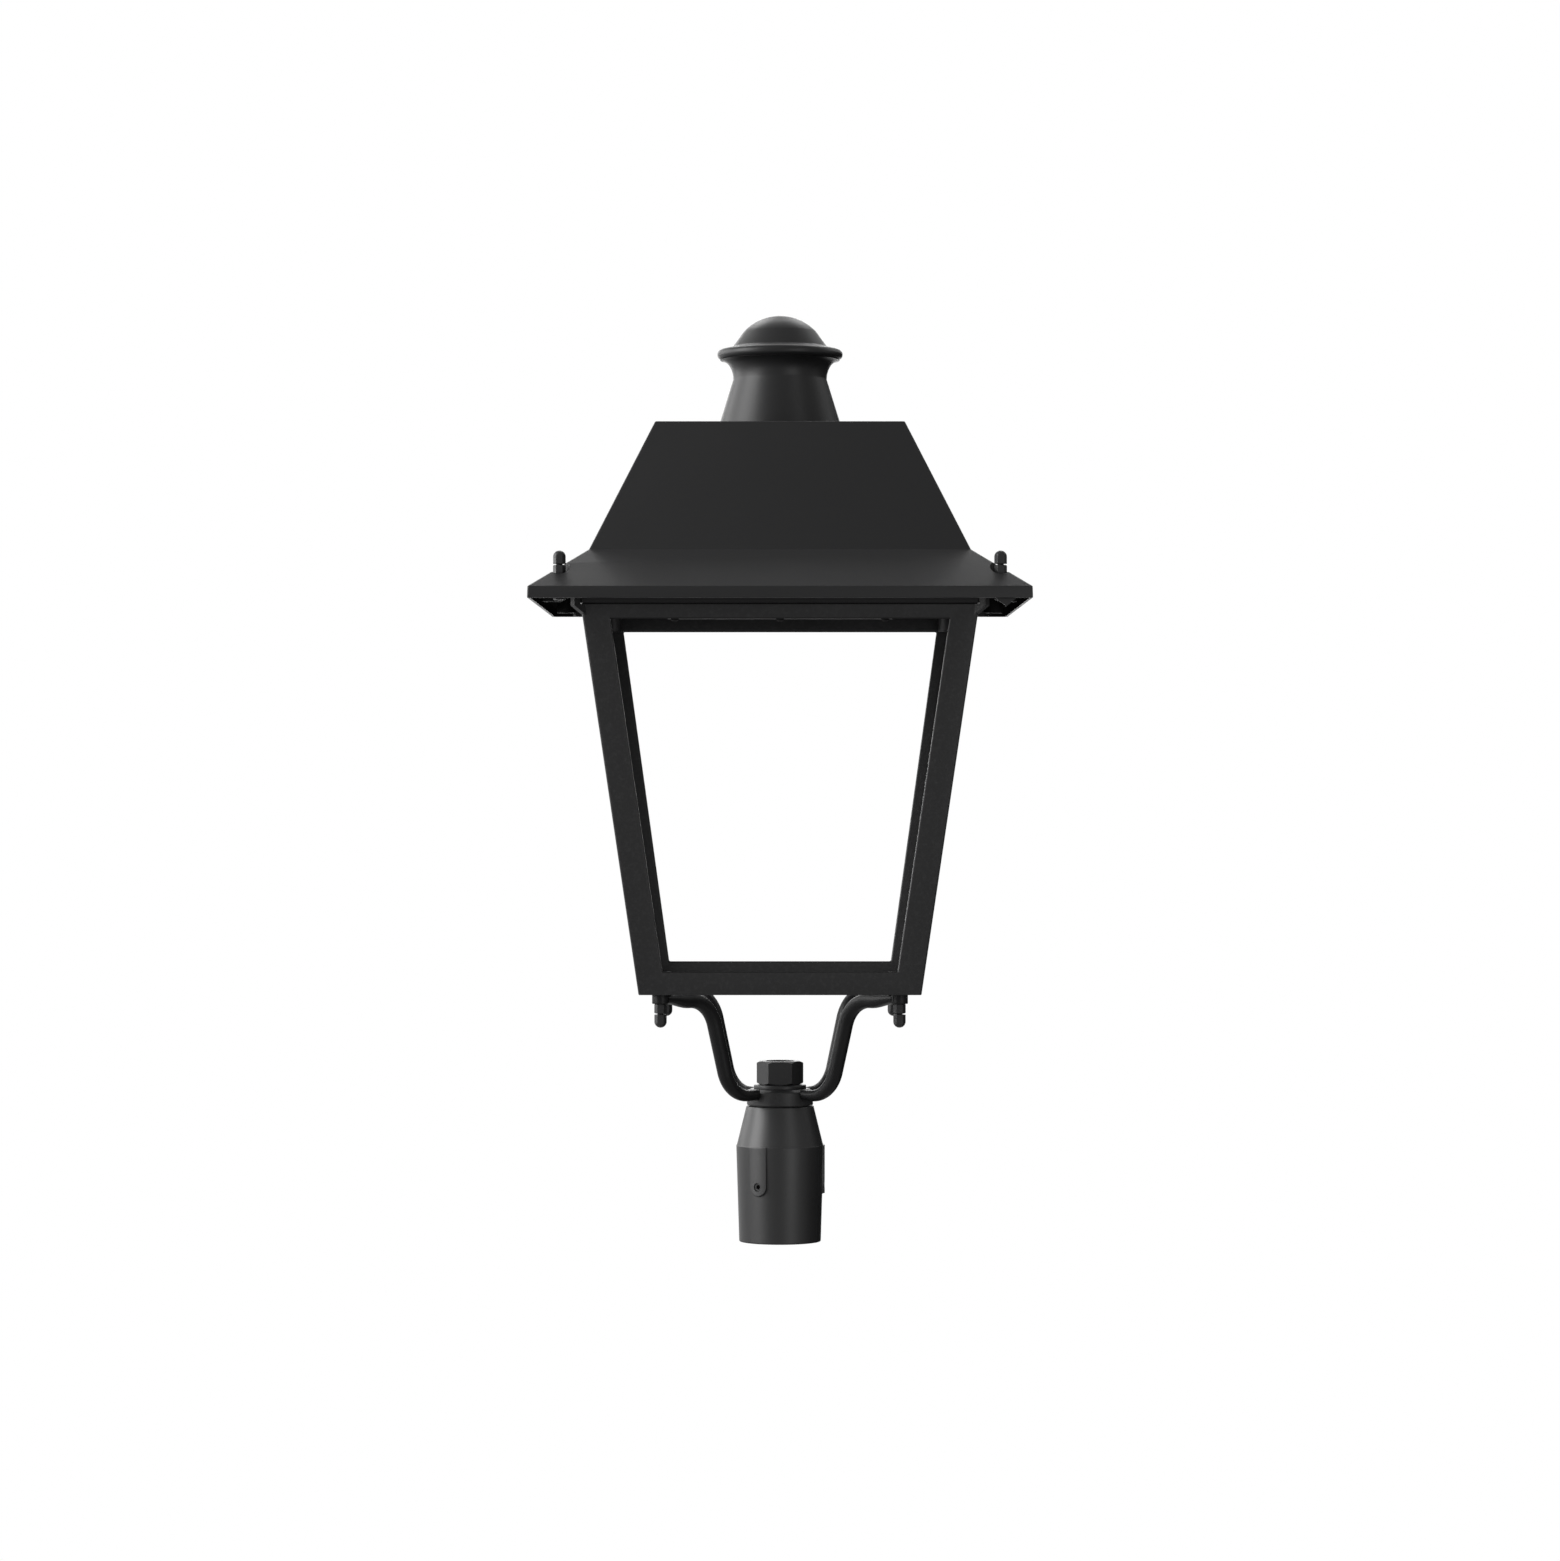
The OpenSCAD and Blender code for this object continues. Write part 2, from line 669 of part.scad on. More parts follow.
// The top ring carries the tray on its flat top and the roof studs on four corner ears
module top_ring() {
    color("#2b2b2b") difference() {
        union() {
            difference() {
                square_stack([[frame_half(top_ring_z), top_ring_z], [frame_half(frame_top), frame_top]]);
                square_stack([[frame_half(top_ring_z - cut) - frame_wall, top_ring_z - cut],
                    [frame_half(frame_top + cut) - frame_wall, frame_top + cut]], edge_r / 2);
            }
            at_corners(tray_screw_x) translate([0, 0, top_ring_z]) cylinder(r = tray_boss_r, h = top_ring_h);
            for (q = QUARTERS) rotate([0, 0, atan2(q[1], q[0])]) lug();
        }
        at_corners(tray_screw_x) translate([0, 0, top_ring_z - cut])
            cylinder(r = screw_d / 2 + thread_play, h = top_ring_h + 2 * cut);
        at_corners(stud_x) translate([0, 0, lug_z - cut]) cylinder(r = stud_hole_r, h = lug_t + 2 * cut);
    }
}

// An ear along +X: a web that rises past the corner of the tray, and a lug for the stud on its top
module lug() {
    root = (frame_half(top_ring_z + ear_foot_h) - edge_r) * sqrt(2);
    inner = root - 4;
    reach = stud_x * sqrt(2);
    translate([0, ear_w / 2, 0]) rotate([90, 0, 0]) linear_extrude(ear_w)
        polygon([[inner, frame_top], [inner, top_ring_z + ear_foot_h], [root, top_ring_z + ear_foot_h],
            [ear_r, frame_top - ear_droop], [ear_r, lug_z + lug_t], [ear_r - ear_t, lug_z + lug_t],
            [ear_r - ear_t, frame_top]]);
    translate([ear_r - ear_t, -lug_w / 2, lug_z]) cube([reach - ear_r + ear_t, lug_w, lug_t]);
    translate([reach, 0, lug_z]) cylinder(d = lug_w, h = lug_t);
}

// The roof studs stand in the lugs, with their heads below
module roof_studs() {
    shank = roof_cap_nut_z + cap_nut_h - 4 - lug_z;
    color("#1d1d1f") at_corners(stud_x) translate([0, 0, lug_z]) rotate([180, 0, 0])
        bolt(stud_d, shank, nut_af, head_h);
}

// The tray and what it seals on
module square_frame(half_out, half_in, h) {
    difference() {
        translate([-half_out, -half_out, 0]) cube([2 * half_out, 2 * half_out, h]);
        translate([-half_in, -half_in, -cut]) cube([2 * half_in, 2 * half_in, h + 2 * cut]);
    }
}

module tray_gasket() {
    color("#151515") translate([0, 0, frame_top + seat_play])
        square_frame(frame_top_w / 2 - gasket_inset, frame_top_w / 2 - frame_wall + fit_play,
            gasket_t - seat_play);
}

// The tray's edge is folded up all round and notched at the corners, where the ears pass
module gear_tray() {
    color("#2b2b2b") translate([0, 0, tray_z]) difference() {
        intersection() {
            union() {
                square_frame(tray_half, glass_w / 2 + fit_play, tray_t);
                square_frame(tray_half, tray_half - tray_t, tray_t + tray_lip_h);
            }
            rotate([0, 0, 45]) translate([-tray_corner_r, -tray_corner_r, -cut])
                cube([2 * tray_corner_r, 2 * tray_corner_r, tray_t + tray_lip_h + 2 * cut]);
        }
        at_corners(tray_screw_x) translate([0, 0, -cut])
            cylinder(r = screw_d / 2 + fit_play, h = tray_t + 2 * cut);
        sink_screw_places() translate([0, 0, -cut]) cylinder(r = screw_d / 2 + fit_play, h = tray_t + 2 * cut);
        translate([gland_x, gland_y, -cut]) cylinder(r = gland_r + thread_play, h = tray_t + 2 * cut);
        gear_screw_places() translate([0, 0, -cut]) cylinder(r = screw_d / 2 + thread_play, h = tray_t + 2 * cut);
    }
}

module tray_screws() {
    color("#6f7275") at_corners(tray_screw_x) translate([0, 0, tray_top])
        button_screw(screw_d, tray_t + gasket_t + top_ring_h - 3);
}

// Eight places round the light unit
module sink_screw_places() {
    for (x = [-1, 0, 1], y = [-1, 0, 1])
        if (x != 0 || y != 0) translate([x * sink_screw_x, y * sink_screw_x, 0]) children();
}

// The heat sink: an extruded comb of fins over a base with a pocket for the board
module heat_sink() {
    half = sink_w / 2;
    pitch = (sink_w - fin_t) / (fin_count - 1);
    color("#9a9da0") translate([0, 0, tray_top]) difference() {
        union() {
            translate([-half, -half, 0]) cube([sink_w, sink_w, sink_base_h]);
            for (i = [0:fin_count - 1])
                translate([-half + i * pitch, -half, 0]) cube([fin_t, sink_w, sink_base_h + fin_h]);
        }
        translate([-window_w / 2, -window_w / 2, -cut]) cube([window_w, window_w, board_pocket_h + cut]);
        sink_screw_places() translate([0, 0, -cut])
            cylinder(r = screw_d / 2 + thread_play, h = sink_base_h - 2 + cut);
    }
}

board_half = window_w / 2 - 2;
module led_board() {
    color("#e9e9e4") translate([-board_half, -board_half, board_z]) cube([2 * board_half, 2 * board_half, board_t]);
}

module lens_plate() {
    half = board_half - 3;
    pitch = 2 * half / lens_rows;
    ball_r = (pow(lens_d / 2, 2) + pow(lens_h, 2)) / (2 * lens_h);
    plate_z = board_z - lens_plate_t;
    color("#dfe6ea") {
        translate([-half, -half, plate_z]) cube([2 * half, 2 * half, lens_plate_t]);
        for (i = [0:lens_rows - 1], j = [0:lens_rows - 1])
            translate([-half + (i + 0.5) * pitch, -half + (j + 0.5) * pitch, plate_z]) intersection() {
                translate([0, 0, ball_r - lens_h]) sphere(r = ball_r);
                translate([0, 0, -lens_h - cut]) cylinder(d = lens_d + cut, h = lens_h + cut + lens_plate_t / 2);
            }
    }
}

module glass_seal() {
    color("#1a1a1a") translate([0, 0, glass_z + glass_t])
        square_frame(glass_w / 2, window_w / 2, tray_top - glass_z - glass_t);
}

module cover_glass() {
    color("#cfdde0") translate([-glass_w / 2, -glass_w / 2, glass_z]) cube([glass_w, glass_w, glass_t]);
}

module glass_bezel() {
    color("#2b2b2b") translate([0, 0, bezel_z]) difference() {
        translate([-bezel_half, -bezel_half, 0]) cube([2 * bezel_half, 2 * bezel_half, bezel_t]);
        translate([-window_w / 2, -window_w / 2, -cut]) cube([window_w, window_w, bezel_t + 2 * cut]);
        translate([-glass_w / 2 - fit_play, -glass_w / 2 - fit_play, bezel_ledge_t])
            cube([glass_w + 2 * fit_play, glass_w + 2 * fit_play, bezel_t]);
        sink_screw_places() translate([0, 0, -cut])
            cylinder(r = screw_d / 2 + fit_play, h = bezel_t + 2 * cut);
    }
}

module bezel_screws() {
    color("#6f7275") sink_screw_places() translate([0, 0, bezel_z]) rotate([180, 0, 0])
        button_screw(screw_d, bezel_t + tray_t + sink_base_h - 4);
}

// The control gear: each case has two feet, and a screw through each foot
module gear_case(l, w, h, r) {
    linear_extrude(h) polygon(rounded_outline(
        [[l / 2, w / 2], [-l / 2, w / 2], [-l / 2, -w / 2], [l / 2, -w / 2]], [r, r, r, r]));
    difference() {
        translate([-l / 2 - foot_l, -w / 4, 0]) cube([l + 2 * foot_l, w / 2, foot_t]);
        for (s = [-1, 1]) translate([s * (l / 2 + foot_l / 2), 0, -cut])
            cylinder(r = screw_d / 2 + fit_play, h = foot_t + 2 * cut);
    }
}

module led_driver() {
    color("#c9cbcc") translate([0, driver_y, tray_top]) gear_case(driver_l, driver_w, driver_h, 4);
}

module surge_protector() {
    color("#d8d8d2") translate([surge_x, 0, tray_top]) rotate([0, 0, 90]) gear_case(surge_l, surge_w, surge_h, 3);
}

module terminal_block() {
    l = terminal_ways * terminal_pitch;
    color("#e4e2da") translate([terminal_x, 0, tray_top]) rotate([0, 0, 90]) difference() {
        gear_case(l, terminal_w, terminal_h, 1.5);
        for (i = [0:terminal_ways - 1]) translate([-l / 2 + (i + 0.5) * terminal_pitch, 0, 0]) {
            for (s = [-1, 1]) translate([0, s * terminal_w / 4, terminal_h - 4]) cylinder(d = 4.5, h = 4 + cut);
            translate([0, -terminal_w / 2 - cut, 7]) rotate([-90, 0, 0]) cylinder(d = 5, h = terminal_w / 3);
        }
        for (i = [1:terminal_ways - 1])
            translate([-l / 2 + i * terminal_pitch - 0.5, -terminal_w / 2 - cut, terminal_h - 5])
                cube([1, terminal_w + 2 * cut, 5 + cut]);
    }
}

// A place over each foot of the three cases
module gear_screw_places() {
    for (s = [-1, 1]) {
        translate([s * (driver_l + foot_l) / 2, driver_y, 0]) children();
        translate([surge_x, s * (surge_l + foot_l) / 2, 0]) children();
        translate([terminal_x, s * (terminal_ways * terminal_pitch + foot_l) / 2, 0]) children();
    }
}

module gear_screws() {
    color("#6f7275") translate([0, 0, tray_top + foot_t]) gear_screw_places() button_screw(screw_d, foot_t + tray_t + 2);
}

// The cable gland: a hexagon under the tray, a domed nut below it and a thread up through the tray
module cable_gland() {
    color("#3a3a3c") translate([gland_x, gland_y, tray_z]) difference() {
        union() {
            translate([0, 0, -gland_body_h]) hex(2 * gland_r + 4, gland_body_h);
            translate([0, 0, -gland_body_h - gland_nut_h])
                turned([[0, 0], [gland_r - 2, 0], [gland_r + 0.5, 1.8], [gland_r + 1.2, gland_nut_h],
                    [0, gland_nut_h]]);
            cylinder(r = gland_r, h = tray_t + 6);
        }
        translate([0, 0, -gland_body_h - gland_nut_h - cut])
            cylinder(d = gland_bore_d, h = gland_body_h + gland_nut_h + tray_t + 6 + 2 * cut);
    }
}

module gland_locknut() {
    color("#3a3a3c") translate([gland_x, gland_y, tray_top]) nut(2 * gland_r + 5, 4, gland_r + thread_play);
}

// The roof shell. Inside it, each level's corner lies one sheet thickness in, square to both faces.
function face_normal(a, b) = let (d = unit(b - a)) [-d[1], d[0]];
function inner_corner(a, p, b, t) =
    let (m = face_normal(a, p), n = face_normal(p, b)) p + t * (m + n) / (1 + m * n);
function inner_levels(l, t) =
    let (last = len(l) - 1)
    let (top_in = l[last] + t * face_normal(l[last - 1], l[last]), top_dir = unit(l[last] - l[last - 1]))
    concat(
        [[l[0][0] - t, l[0][1] - cut]],
        [for (i = [1:last - 1]) inner_corner(l[i - 1], l[i], l[i + 1], t)],
        [top_in - top_dir * (top_in[1] - (l[last][1] - t)) / top_dir[1]]);

// The rim and the skirt, with a round pocket for each roof nut over a boss that rests on the lug
boss_z = lug_z + lug_t + seat_play;
module roof_shell() {
    outside = [for (i = [0:2]) roof_levels[i]];
    color("#2b2b2b") difference() {
        union() {
            difference() {
                square_stack(outside, roof_fold_r);
                square_stack(inner_levels(roof_levels, roof_wall), 0);
            }
            intersection() {
                square_stack(outside, roof_fold_r);
                union() {
                    at_corners(stud_x) translate([0, 0, boss_z]) cylinder(r = boss_r, h = pocket_floor + skirt_h);
                    side_boss_places() translate([0, 0, rim_z + 0.2]) cylinder(r = side_boss_r, h = skirt_h);
                }
            }
            pointed_tab();
        }
        at_corners(stud_x) translate([0, 0, pocket_z]) cylinder(d = pocket_d, h = skirt_h);
        at_corners(stud_x) translate([0, 0, boss_z - cut]) cylinder(r = roof_hole_r, h = pocket_floor + 2 * cut);
        side_boss_places() translate([0, 0, rim_z - cut]) cylinder(r = side_boss_r / 2, h = rim_h + cut);
    }
}

// The two round bosses under the skirt on each side
module side_boss_places() {
    for (q = QUARTERS) translate([q[0] * side_boss_x, q[1] * side_boss_y, 0]) children();
}

// The steep upper roof: four mitred panels, welded along the hips, and a flat plate on top of them
shoulder_z = rim_z + rim_h + skirt_h;
hood_inset = roof_wall * norm([upper_w, upper_h]) / upper_h;
function hood_half(z) = shoulder_half - upper_w * (z - shoulder_z) / upper_h;

// A panel's section on the +Y side runs from hip to hip along the outside and back along the inside. Points 2 and
// 7 of the outside lie on the hips.
function hood_loop(z) =
    let (outer = square_loop(hood_half(z), z, roof_fold_r), inner = hood_half(z) - hood_inset)
    concat([for (i = [2:7]) outer[i]], [[-inner, inner, z], [inner, inner, z]]);

module roof_hood(angle) {
    color("#2b2b2b") rotate([0, 0, angle]) skin([hood_loop(shoulder_z), hood_loop(roof_top - roof_wall)]);
}

module roof_top_plate() {
    under = roof_top - roof_wall;
    color("#2b2b2b") difference() {
        square_stack([[hood_half(under), under], [hood_half(roof_top), roof_top]], roof_fold_r);
        translate([0, 0, under - cut]) cylinder(r = tie_rod_r + fit_play, h = roof_wall + 2 * cut);
    }
}

// A small pointed tab on the inside of the front rim
module pointed_tab() {
    translate([roof_w / 2 - tab_inset, -roof_w / 2 + roof_wall + 0.5, rim_z]) rotate([90, 0, 0]) linear_extrude(roof_wall)
        polygon([[-tab_w / 2, 3], [-tab_w / 2, 0], [0, -tab_h], [tab_w / 2, 0], [tab_w / 2, 3]]);
}

module roof_nuts() {
    color("#1d1d1f") at_corners(stud_x) translate([0, 0, pocket_z]) nut(nut_af, roof_nut_h, roof_hole_r);
}

module roof_cap_nuts() {
    color("#1d1d1f") at_corners(stud_x) translate([0, 0, roof_cap_nut_z]) cap_nut(nut_af, cap_nut_h, roof_hole_r);
}

// The neck: a straight cone, then a flare that follows a quarter of an ellipse
flare_h = neck_h - neck_waist_h;
flare_w = neck_lip_r - neck_waist_r;
function flare(in, n) = [for (i = [0:n]) let (a = 90 * i / n)
    [neck_waist_r - in + flare_w * (1 - cos(a)), neck_waist_h + (flare_h - (in > 0 ? 0 : 1)) * sin(a)]];

module chimney_neck() {
    color("#2b2b2b") translate([0, 0, roof_top]) difference() {
        turned(concat([[0, 0], [neck_foot_r, 0]], flare(0, 10), [[neck_lip_r, neck_h], [0, neck_h]]));
        turned(concat([[0, -cut], [neck_foot_r - chimney_wall, -cut], [neck_foot_r - chimney_wall, 0]],
            flare(chimney_wall, 10), [[neck_lip_r - chimney_wall, neck_h + cut], [0, neck_h + cut]]));
    }
}

// The cap: a rolled collar, a shallow slope up to the dome's foot, a cone and a round top
roll_r = collar_h / 2;
dome_rise = cap_h - dome_break_h;
dome_r = (pow(dome_break_r, 2) + pow(dome_rise, 2)) / (2 * dome_rise);
dome_angle = asin(dome_break_r / dome_r);
function dome_arc(r, n) = [for (i = [0:n]) let (a = dome_angle * (1 - i / n))
    [r * sin(a), cap_h - dome_r + r * cos(a)]];

module chimney_cap() {
    color("#2b2b2b") translate([0, 0, neck_top]) difference() {
        turned(concat(
            [[0, 0], [collar_r - roll_r, 0]],
            [for (i = [1:12]) let (a = -90 + 180 * i / 12)
                [collar_r - roll_r + roll_r * cos(a), roll_r + roll_r * sin(a)]],
            [[dome_foot_r, dome_foot_h]],
            dome_arc(dome_r, 12)));
        difference() {
            turned(concat(
                [[0, -cut], [dome_foot_r - chimney_wall, -cut], [dome_foot_r - chimney_wall, dome_foot_h]],
                dome_arc(dome_r - chimney_wall, 12)));
            cylinder(r = tie_rod_r + 5, h = cap_h);
        }
        translate([0, 0, -cut]) cylinder(r = tie_rod_r + thread_play, h = dome_break_h + cut);
    }
}

tie_rod_end = roof_top - roof_wall - 12;
module tie_rod() {
    color("#8a8d90") translate([0, 0, tie_rod_end])
        cylinder(r = tie_rod_r, h = neck_top + dome_break_h - 2 - tie_rod_end);
}

module tie_rod_nut() {
    af = 1.625 * tie_rod_d;
    color("#8a8d90") translate([0, 0, roof_top - roof_wall]) {
        translate([0, 0, -1.6]) ring(tie_rod_d, tie_rod_r + thread_play, 1.6);
        translate([0, 0, -1.6 - 0.8 * tie_rod_d]) nut(af, 0.8 * tie_rod_d, tie_rod_r + thread_play);
    }
}

post_socket();
threaded_tube();
tube_back_nut();
turning_washer();
clamp_washer();
clamp_nut();
set_screw(set_screw_angles[0]);  // set_screw_right
set_screw(set_screw_angles[1]);  // set_screw_back
set_screw(set_screw_angles[2]);  // set_screw_left
fork_hub();
fork_arm(-1, -1);  // fork_arm_front_left
fork_arm(1, -1);  // fork_arm_front_right
fork_arm(1, 1);  // fork_arm_back_right
fork_arm(-1, 1);  // fork_arm_back_left
fork_bolts();
fork_nuts();
fork_cap_nuts();
bottom_ring();
corner_post(-1, -1, FACE_LEG);  // corner_post_front_left
corner_post(-1, -1, SIDE_LEG);  // corner_post_front_left_side
corner_post(1, -1, FACE_LEG);  // corner_post_front_right
corner_post(1, -1, SIDE_LEG);  // corner_post_front_right_side
corner_post(1, 1, FACE_LEG);  // corner_post_back_right
corner_post(1, 1, SIDE_LEG);  // corner_post_back_right_side
corner_post(-1, 1, FACE_LEG);  // corner_post_back_left
corner_post(-1, 1, SIDE_LEG);  // corner_post_back_left_side
top_ring();
roof_studs();
tray_gasket();
gear_tray();
tray_screws();
heat_sink();
led_board();
lens_plate();
glass_seal();
cover_glass();
glass_bezel();
bezel_screws();
led_driver();
surge_protector();
terminal_block();
gear_screws();
cable_gland();
gland_locknut();
roof_shell();
roof_hood(180);  // roof_hood_front
roof_hood(-90);  // roof_hood_right
roof_hood(0);  // roof_hood_back
roof_hood(90);  // roof_hood_left
roof_top_plate();
roof_nuts();
roof_cap_nuts();
chimney_neck();
chimney_cap();
tie_rod();
tie_rod_nut();
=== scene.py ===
# %% [markdown]
# # A four-sided LED post lantern in satin black
#
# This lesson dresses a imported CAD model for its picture. The lantern is a square tapered frame of
# cast aluminium under a folded roof with a chimney. A fork of four bent arms carries it, and the
# fork turns on a sleeve that fits over a lamp post. All sizes below are millimetres, turned into
# Blender's metres in one place. The CAD model fixes where everything is, so each cell reads heights
# from it and only adds form: rounded edges, threads, lenses and finishes.

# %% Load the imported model
import math

import bmesh
import bpy
import numpy as np
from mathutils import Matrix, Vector


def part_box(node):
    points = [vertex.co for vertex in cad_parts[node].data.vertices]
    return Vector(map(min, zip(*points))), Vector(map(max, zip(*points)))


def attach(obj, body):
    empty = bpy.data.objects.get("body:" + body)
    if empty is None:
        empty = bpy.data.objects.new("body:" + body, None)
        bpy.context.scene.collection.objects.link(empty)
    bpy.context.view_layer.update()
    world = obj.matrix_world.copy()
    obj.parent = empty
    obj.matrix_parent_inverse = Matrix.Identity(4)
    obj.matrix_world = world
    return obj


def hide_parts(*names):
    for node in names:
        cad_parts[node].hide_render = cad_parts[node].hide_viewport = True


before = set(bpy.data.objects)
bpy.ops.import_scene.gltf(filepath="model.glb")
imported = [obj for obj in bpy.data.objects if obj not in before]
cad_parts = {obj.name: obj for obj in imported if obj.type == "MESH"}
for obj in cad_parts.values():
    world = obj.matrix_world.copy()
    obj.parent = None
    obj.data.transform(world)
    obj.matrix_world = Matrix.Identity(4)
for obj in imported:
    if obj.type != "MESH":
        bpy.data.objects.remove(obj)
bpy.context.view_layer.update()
MM = 0.001

# %% [markdown]
# ## From a grid of points to a mesh
#
# Nearly every piece here is a surface over two parameters: one runs round the piece, the other along
# it. Numpy works out the whole grid at once, and four neighbours in the grid make one face. A row
# whose points all fall together becomes a pole, because doubles are merged afterwards, so a closed
# shape needs no special caps. Working this way keeps each shape in one formula that can be read.

# %% Grids into meshes
def tiles(rows, columns, closed=True):
    """Corner numbers of a grid's faces: neighbours along and across, with the last column joined to the
    first if closed."""
    ids = np.arange(rows * columns).reshape(rows, columns)
    if closed:
        ids = np.concatenate([ids, ids[:, :1]], axis=1)
    return np.stack([ids[:-1, :-1], ids[:-1, 1:], ids[1:, 1:], ids[1:, :-1]], axis=-1).reshape(-1, 4)


def placed(name, points, faces):
    """A mesh object from points in metres and faces of their numbers, put in the scene."""
    mesh = bpy.data.meshes.new(name)
    mesh.from_pydata(points, [], faces)
    piece = bpy.data.objects.new(name, mesh)
    bpy.context.scene.collection.objects.link(piece)
    return piece


def build(name, grids, sharp=32.0, leave_out=None):
    """One mesh object from several grids of points in mm. Edges that turn more than sharp degrees stay
    crisp. leave_out says, from the corner points of all faces at once, which faces aren't made."""
    offsets = np.cumsum([0] + [g.shape[0] * g.shape[1] for g in grids])
    points = np.concatenate([g.reshape(-1, 3) for g in grids]) * MM
    faces = np.concatenate([tiles(*g.shape[:2]) + o for g, o in zip(grids, offsets)])
    if leave_out is not None:
        faces = faces[~leave_out(points[faces])]
    piece = placed(name, points.tolist(), faces.tolist())
    tidy(piece, sharp)
    return piece


def tidy(piece, sharp=32.0, merge=2e-6):
    """Merges doubles, turns all faces outwards and shades smooth up to the sharp angle."""
    shape = bmesh.new()
    shape.from_mesh(piece.data)
    bmesh.ops.remove_doubles(shape, verts=shape.verts, dist=merge)
    bmesh.ops.dissolve_degenerate(shape, edges=shape.edges, dist=merge)
    bmesh.ops.recalc_face_normals(shape, faces=shape.faces)
    shape.to_mesh(piece.data)
    shape.free()
    piece.data.shade_smooth()
    piece.data.set_sharp_from_angle(angle=math.radians(sharp))


print("A tube of 3 rows and 8 columns has", len(tiles(3, 8)), "faces")

# %% [markdown]
# ## Profiles
#
# A machinist's drawing of a round part is a profile: straight runs joined by small radii. The corner
# formula below serves every such line. A corner between two directions u and v gets a circle whose
# centre lies along u + v, at r / sin(half the angle) from the corner, so it touches both runs.

# %% Rounded corners and offsets
def unit(v):
    """Vectors scaled to length one; a zero vector stays zero."""
    size = np.linalg.norm(v, axis=-1, keepdims=True)
    return v / np.where(size > 1e-12, size, 1.0)


def rounded(corners, radii, steps=4):
    """An open line whose inner corners are rounded; centre = p + unit(u + v) r / sin(half angle)."""
    p = np.asarray(corners, float)
    r = np.broadcast_to(np.asarray(radii, float), (len(p) - 2,))[:, None]
    u, v = unit(p[:-2] - p[1:-1]), unit(p[2:] - p[1:-1])
    half = np.arccos(np.clip(np.sum(u * v, axis=1, keepdims=True), -1, 1)) / 2
    centre = p[1:-1] + unit(u + v) * r / np.sin(half)
    start, stop = p[1:-1] + u * r / np.tan(half), p[1:-1] + v * r / np.tan(half)
    t = np.linspace(0, 1, steps + 1)[None, :, None]
    spokes = unit(start[:, None] * (1 - t) + stop[:, None] * t - centre[:, None])
    arcs = (centre[:, None] + spokes * r[:, None]).reshape(-1, 2)
    return np.concatenate([p[:1], arcs, p[-1:]])


def offset(line, t):
    """A line moved t to its left: a corner between normals m and n goes to p + t (m + n) / (1 + m . n)."""
    p = np.asarray(line, float)
    d = unit(np.diff(p, axis=0))
    n = np.stack([-d[:, 1], d[:, 0]], axis=1)
    inner = p[1:-1] + t * (n[:-1] + n[1:]) / (1 + np.sum(n[:-1] * n[1:], axis=1, keepdims=True))
    return np.concatenate([p[:1] + t * n[:1], inner, p[-1:] + t * n[-1:]])


print("A corner rounded by 2 mm:", rounded([(0, 0), (9, 0), (9, 9)], 2.0).round(2).tolist())

# %% [markdown]
# ## Three ways to carry a profile
#
# Round parts are turned: the profile goes once round the axis. The roof is a stack of squares with
# rounded corners. A hexagon is turned too, but its radius changes with the angle: a flat at distance
# f from the axis is hit at f / cos(angle from the flat's middle), which repeats every 60 degrees.

# %% Turned and squared grids
def around(columns):
    """Even angles once round."""
    return np.linspace(0, 2 * np.pi, columns, endpoint=False)


def polar(r, a, z):
    """Points (r cos a, r sin a, z)."""
    return np.stack([r * np.cos(a), r * np.sin(a), z], axis=-1)


def turn(profile, columns=128, lift=0.0):
    """A profile of (radius, height) about Z: (r, z) goes to (r cos a, r sin a, z + lift) for each angle."""
    r, z = np.asarray(profile, float).T[:, :, None]
    a = around(columns)
    return polar(r, a, z + lift + 0 * a)


def square(profile, radius, steps=6):
    """Squares of (half width, height) with round corners: (h - r) (sx, sy) plus r (cos a, sin a)."""
    h, z = np.asarray(profile, float).T[:, :, None]
    a = (np.arange(4)[:, None] * np.pi / 2 + np.linspace(0, np.pi / 2, steps + 1)).ravel()
    sx, sy = np.repeat([1, -1, -1, 1], steps + 1), np.repeat([1, 1, -1, -1], steps + 1)
    r = np.minimum(radius, h)
    return np.stack([(h - r) * sx + r * np.cos(a), (h - r) * sy + r * np.sin(a), z + 0 * a], axis=-1)


def ring_section(inner, outer, high, low=0):
    """A rectangle of (radius, height) that closes on its first corner."""
    return [(inner, low), (outer, low), (outer, high), (inner, high), (inner, low)]


def moved(grid, x=0.0, y=0.0, z=0.0):
    """The grid, moved."""
    return grid + np.array([x, y, z])


def spun(grid, degrees):
    """The grid turned about Z: (x cos t - y sin t, x sin t + y cos t, z)."""
    c, s = math.cos(math.radians(degrees)), math.sin(math.radians(degrees))
    return grid @ np.array([[c, s, 0], [-s, c, 0], [0, 0, 1]])


def flipped(grid, about):
    """The grid upside down about the height about."""
    return grid * np.array([1, -1, -1]) + np.array([0, 0, 2 * about])


def slab(outline, low, high, middle=None):
    """An outline of (x, y) as a plate from low to high. Each face fans out from a point that sees all
    corners: their mean, or the point middle where the outline has an inward corner."""
    line = np.asarray(outline, float)
    middle = np.broadcast_to(line.mean(axis=0) if middle is None else middle, line.shape)
    rows = [(middle, low), (line, low), (line, high), (middle, high)]
    return np.stack([np.concatenate([xy, np.full((len(xy), 1), z)], axis=1) for xy, z in rows])


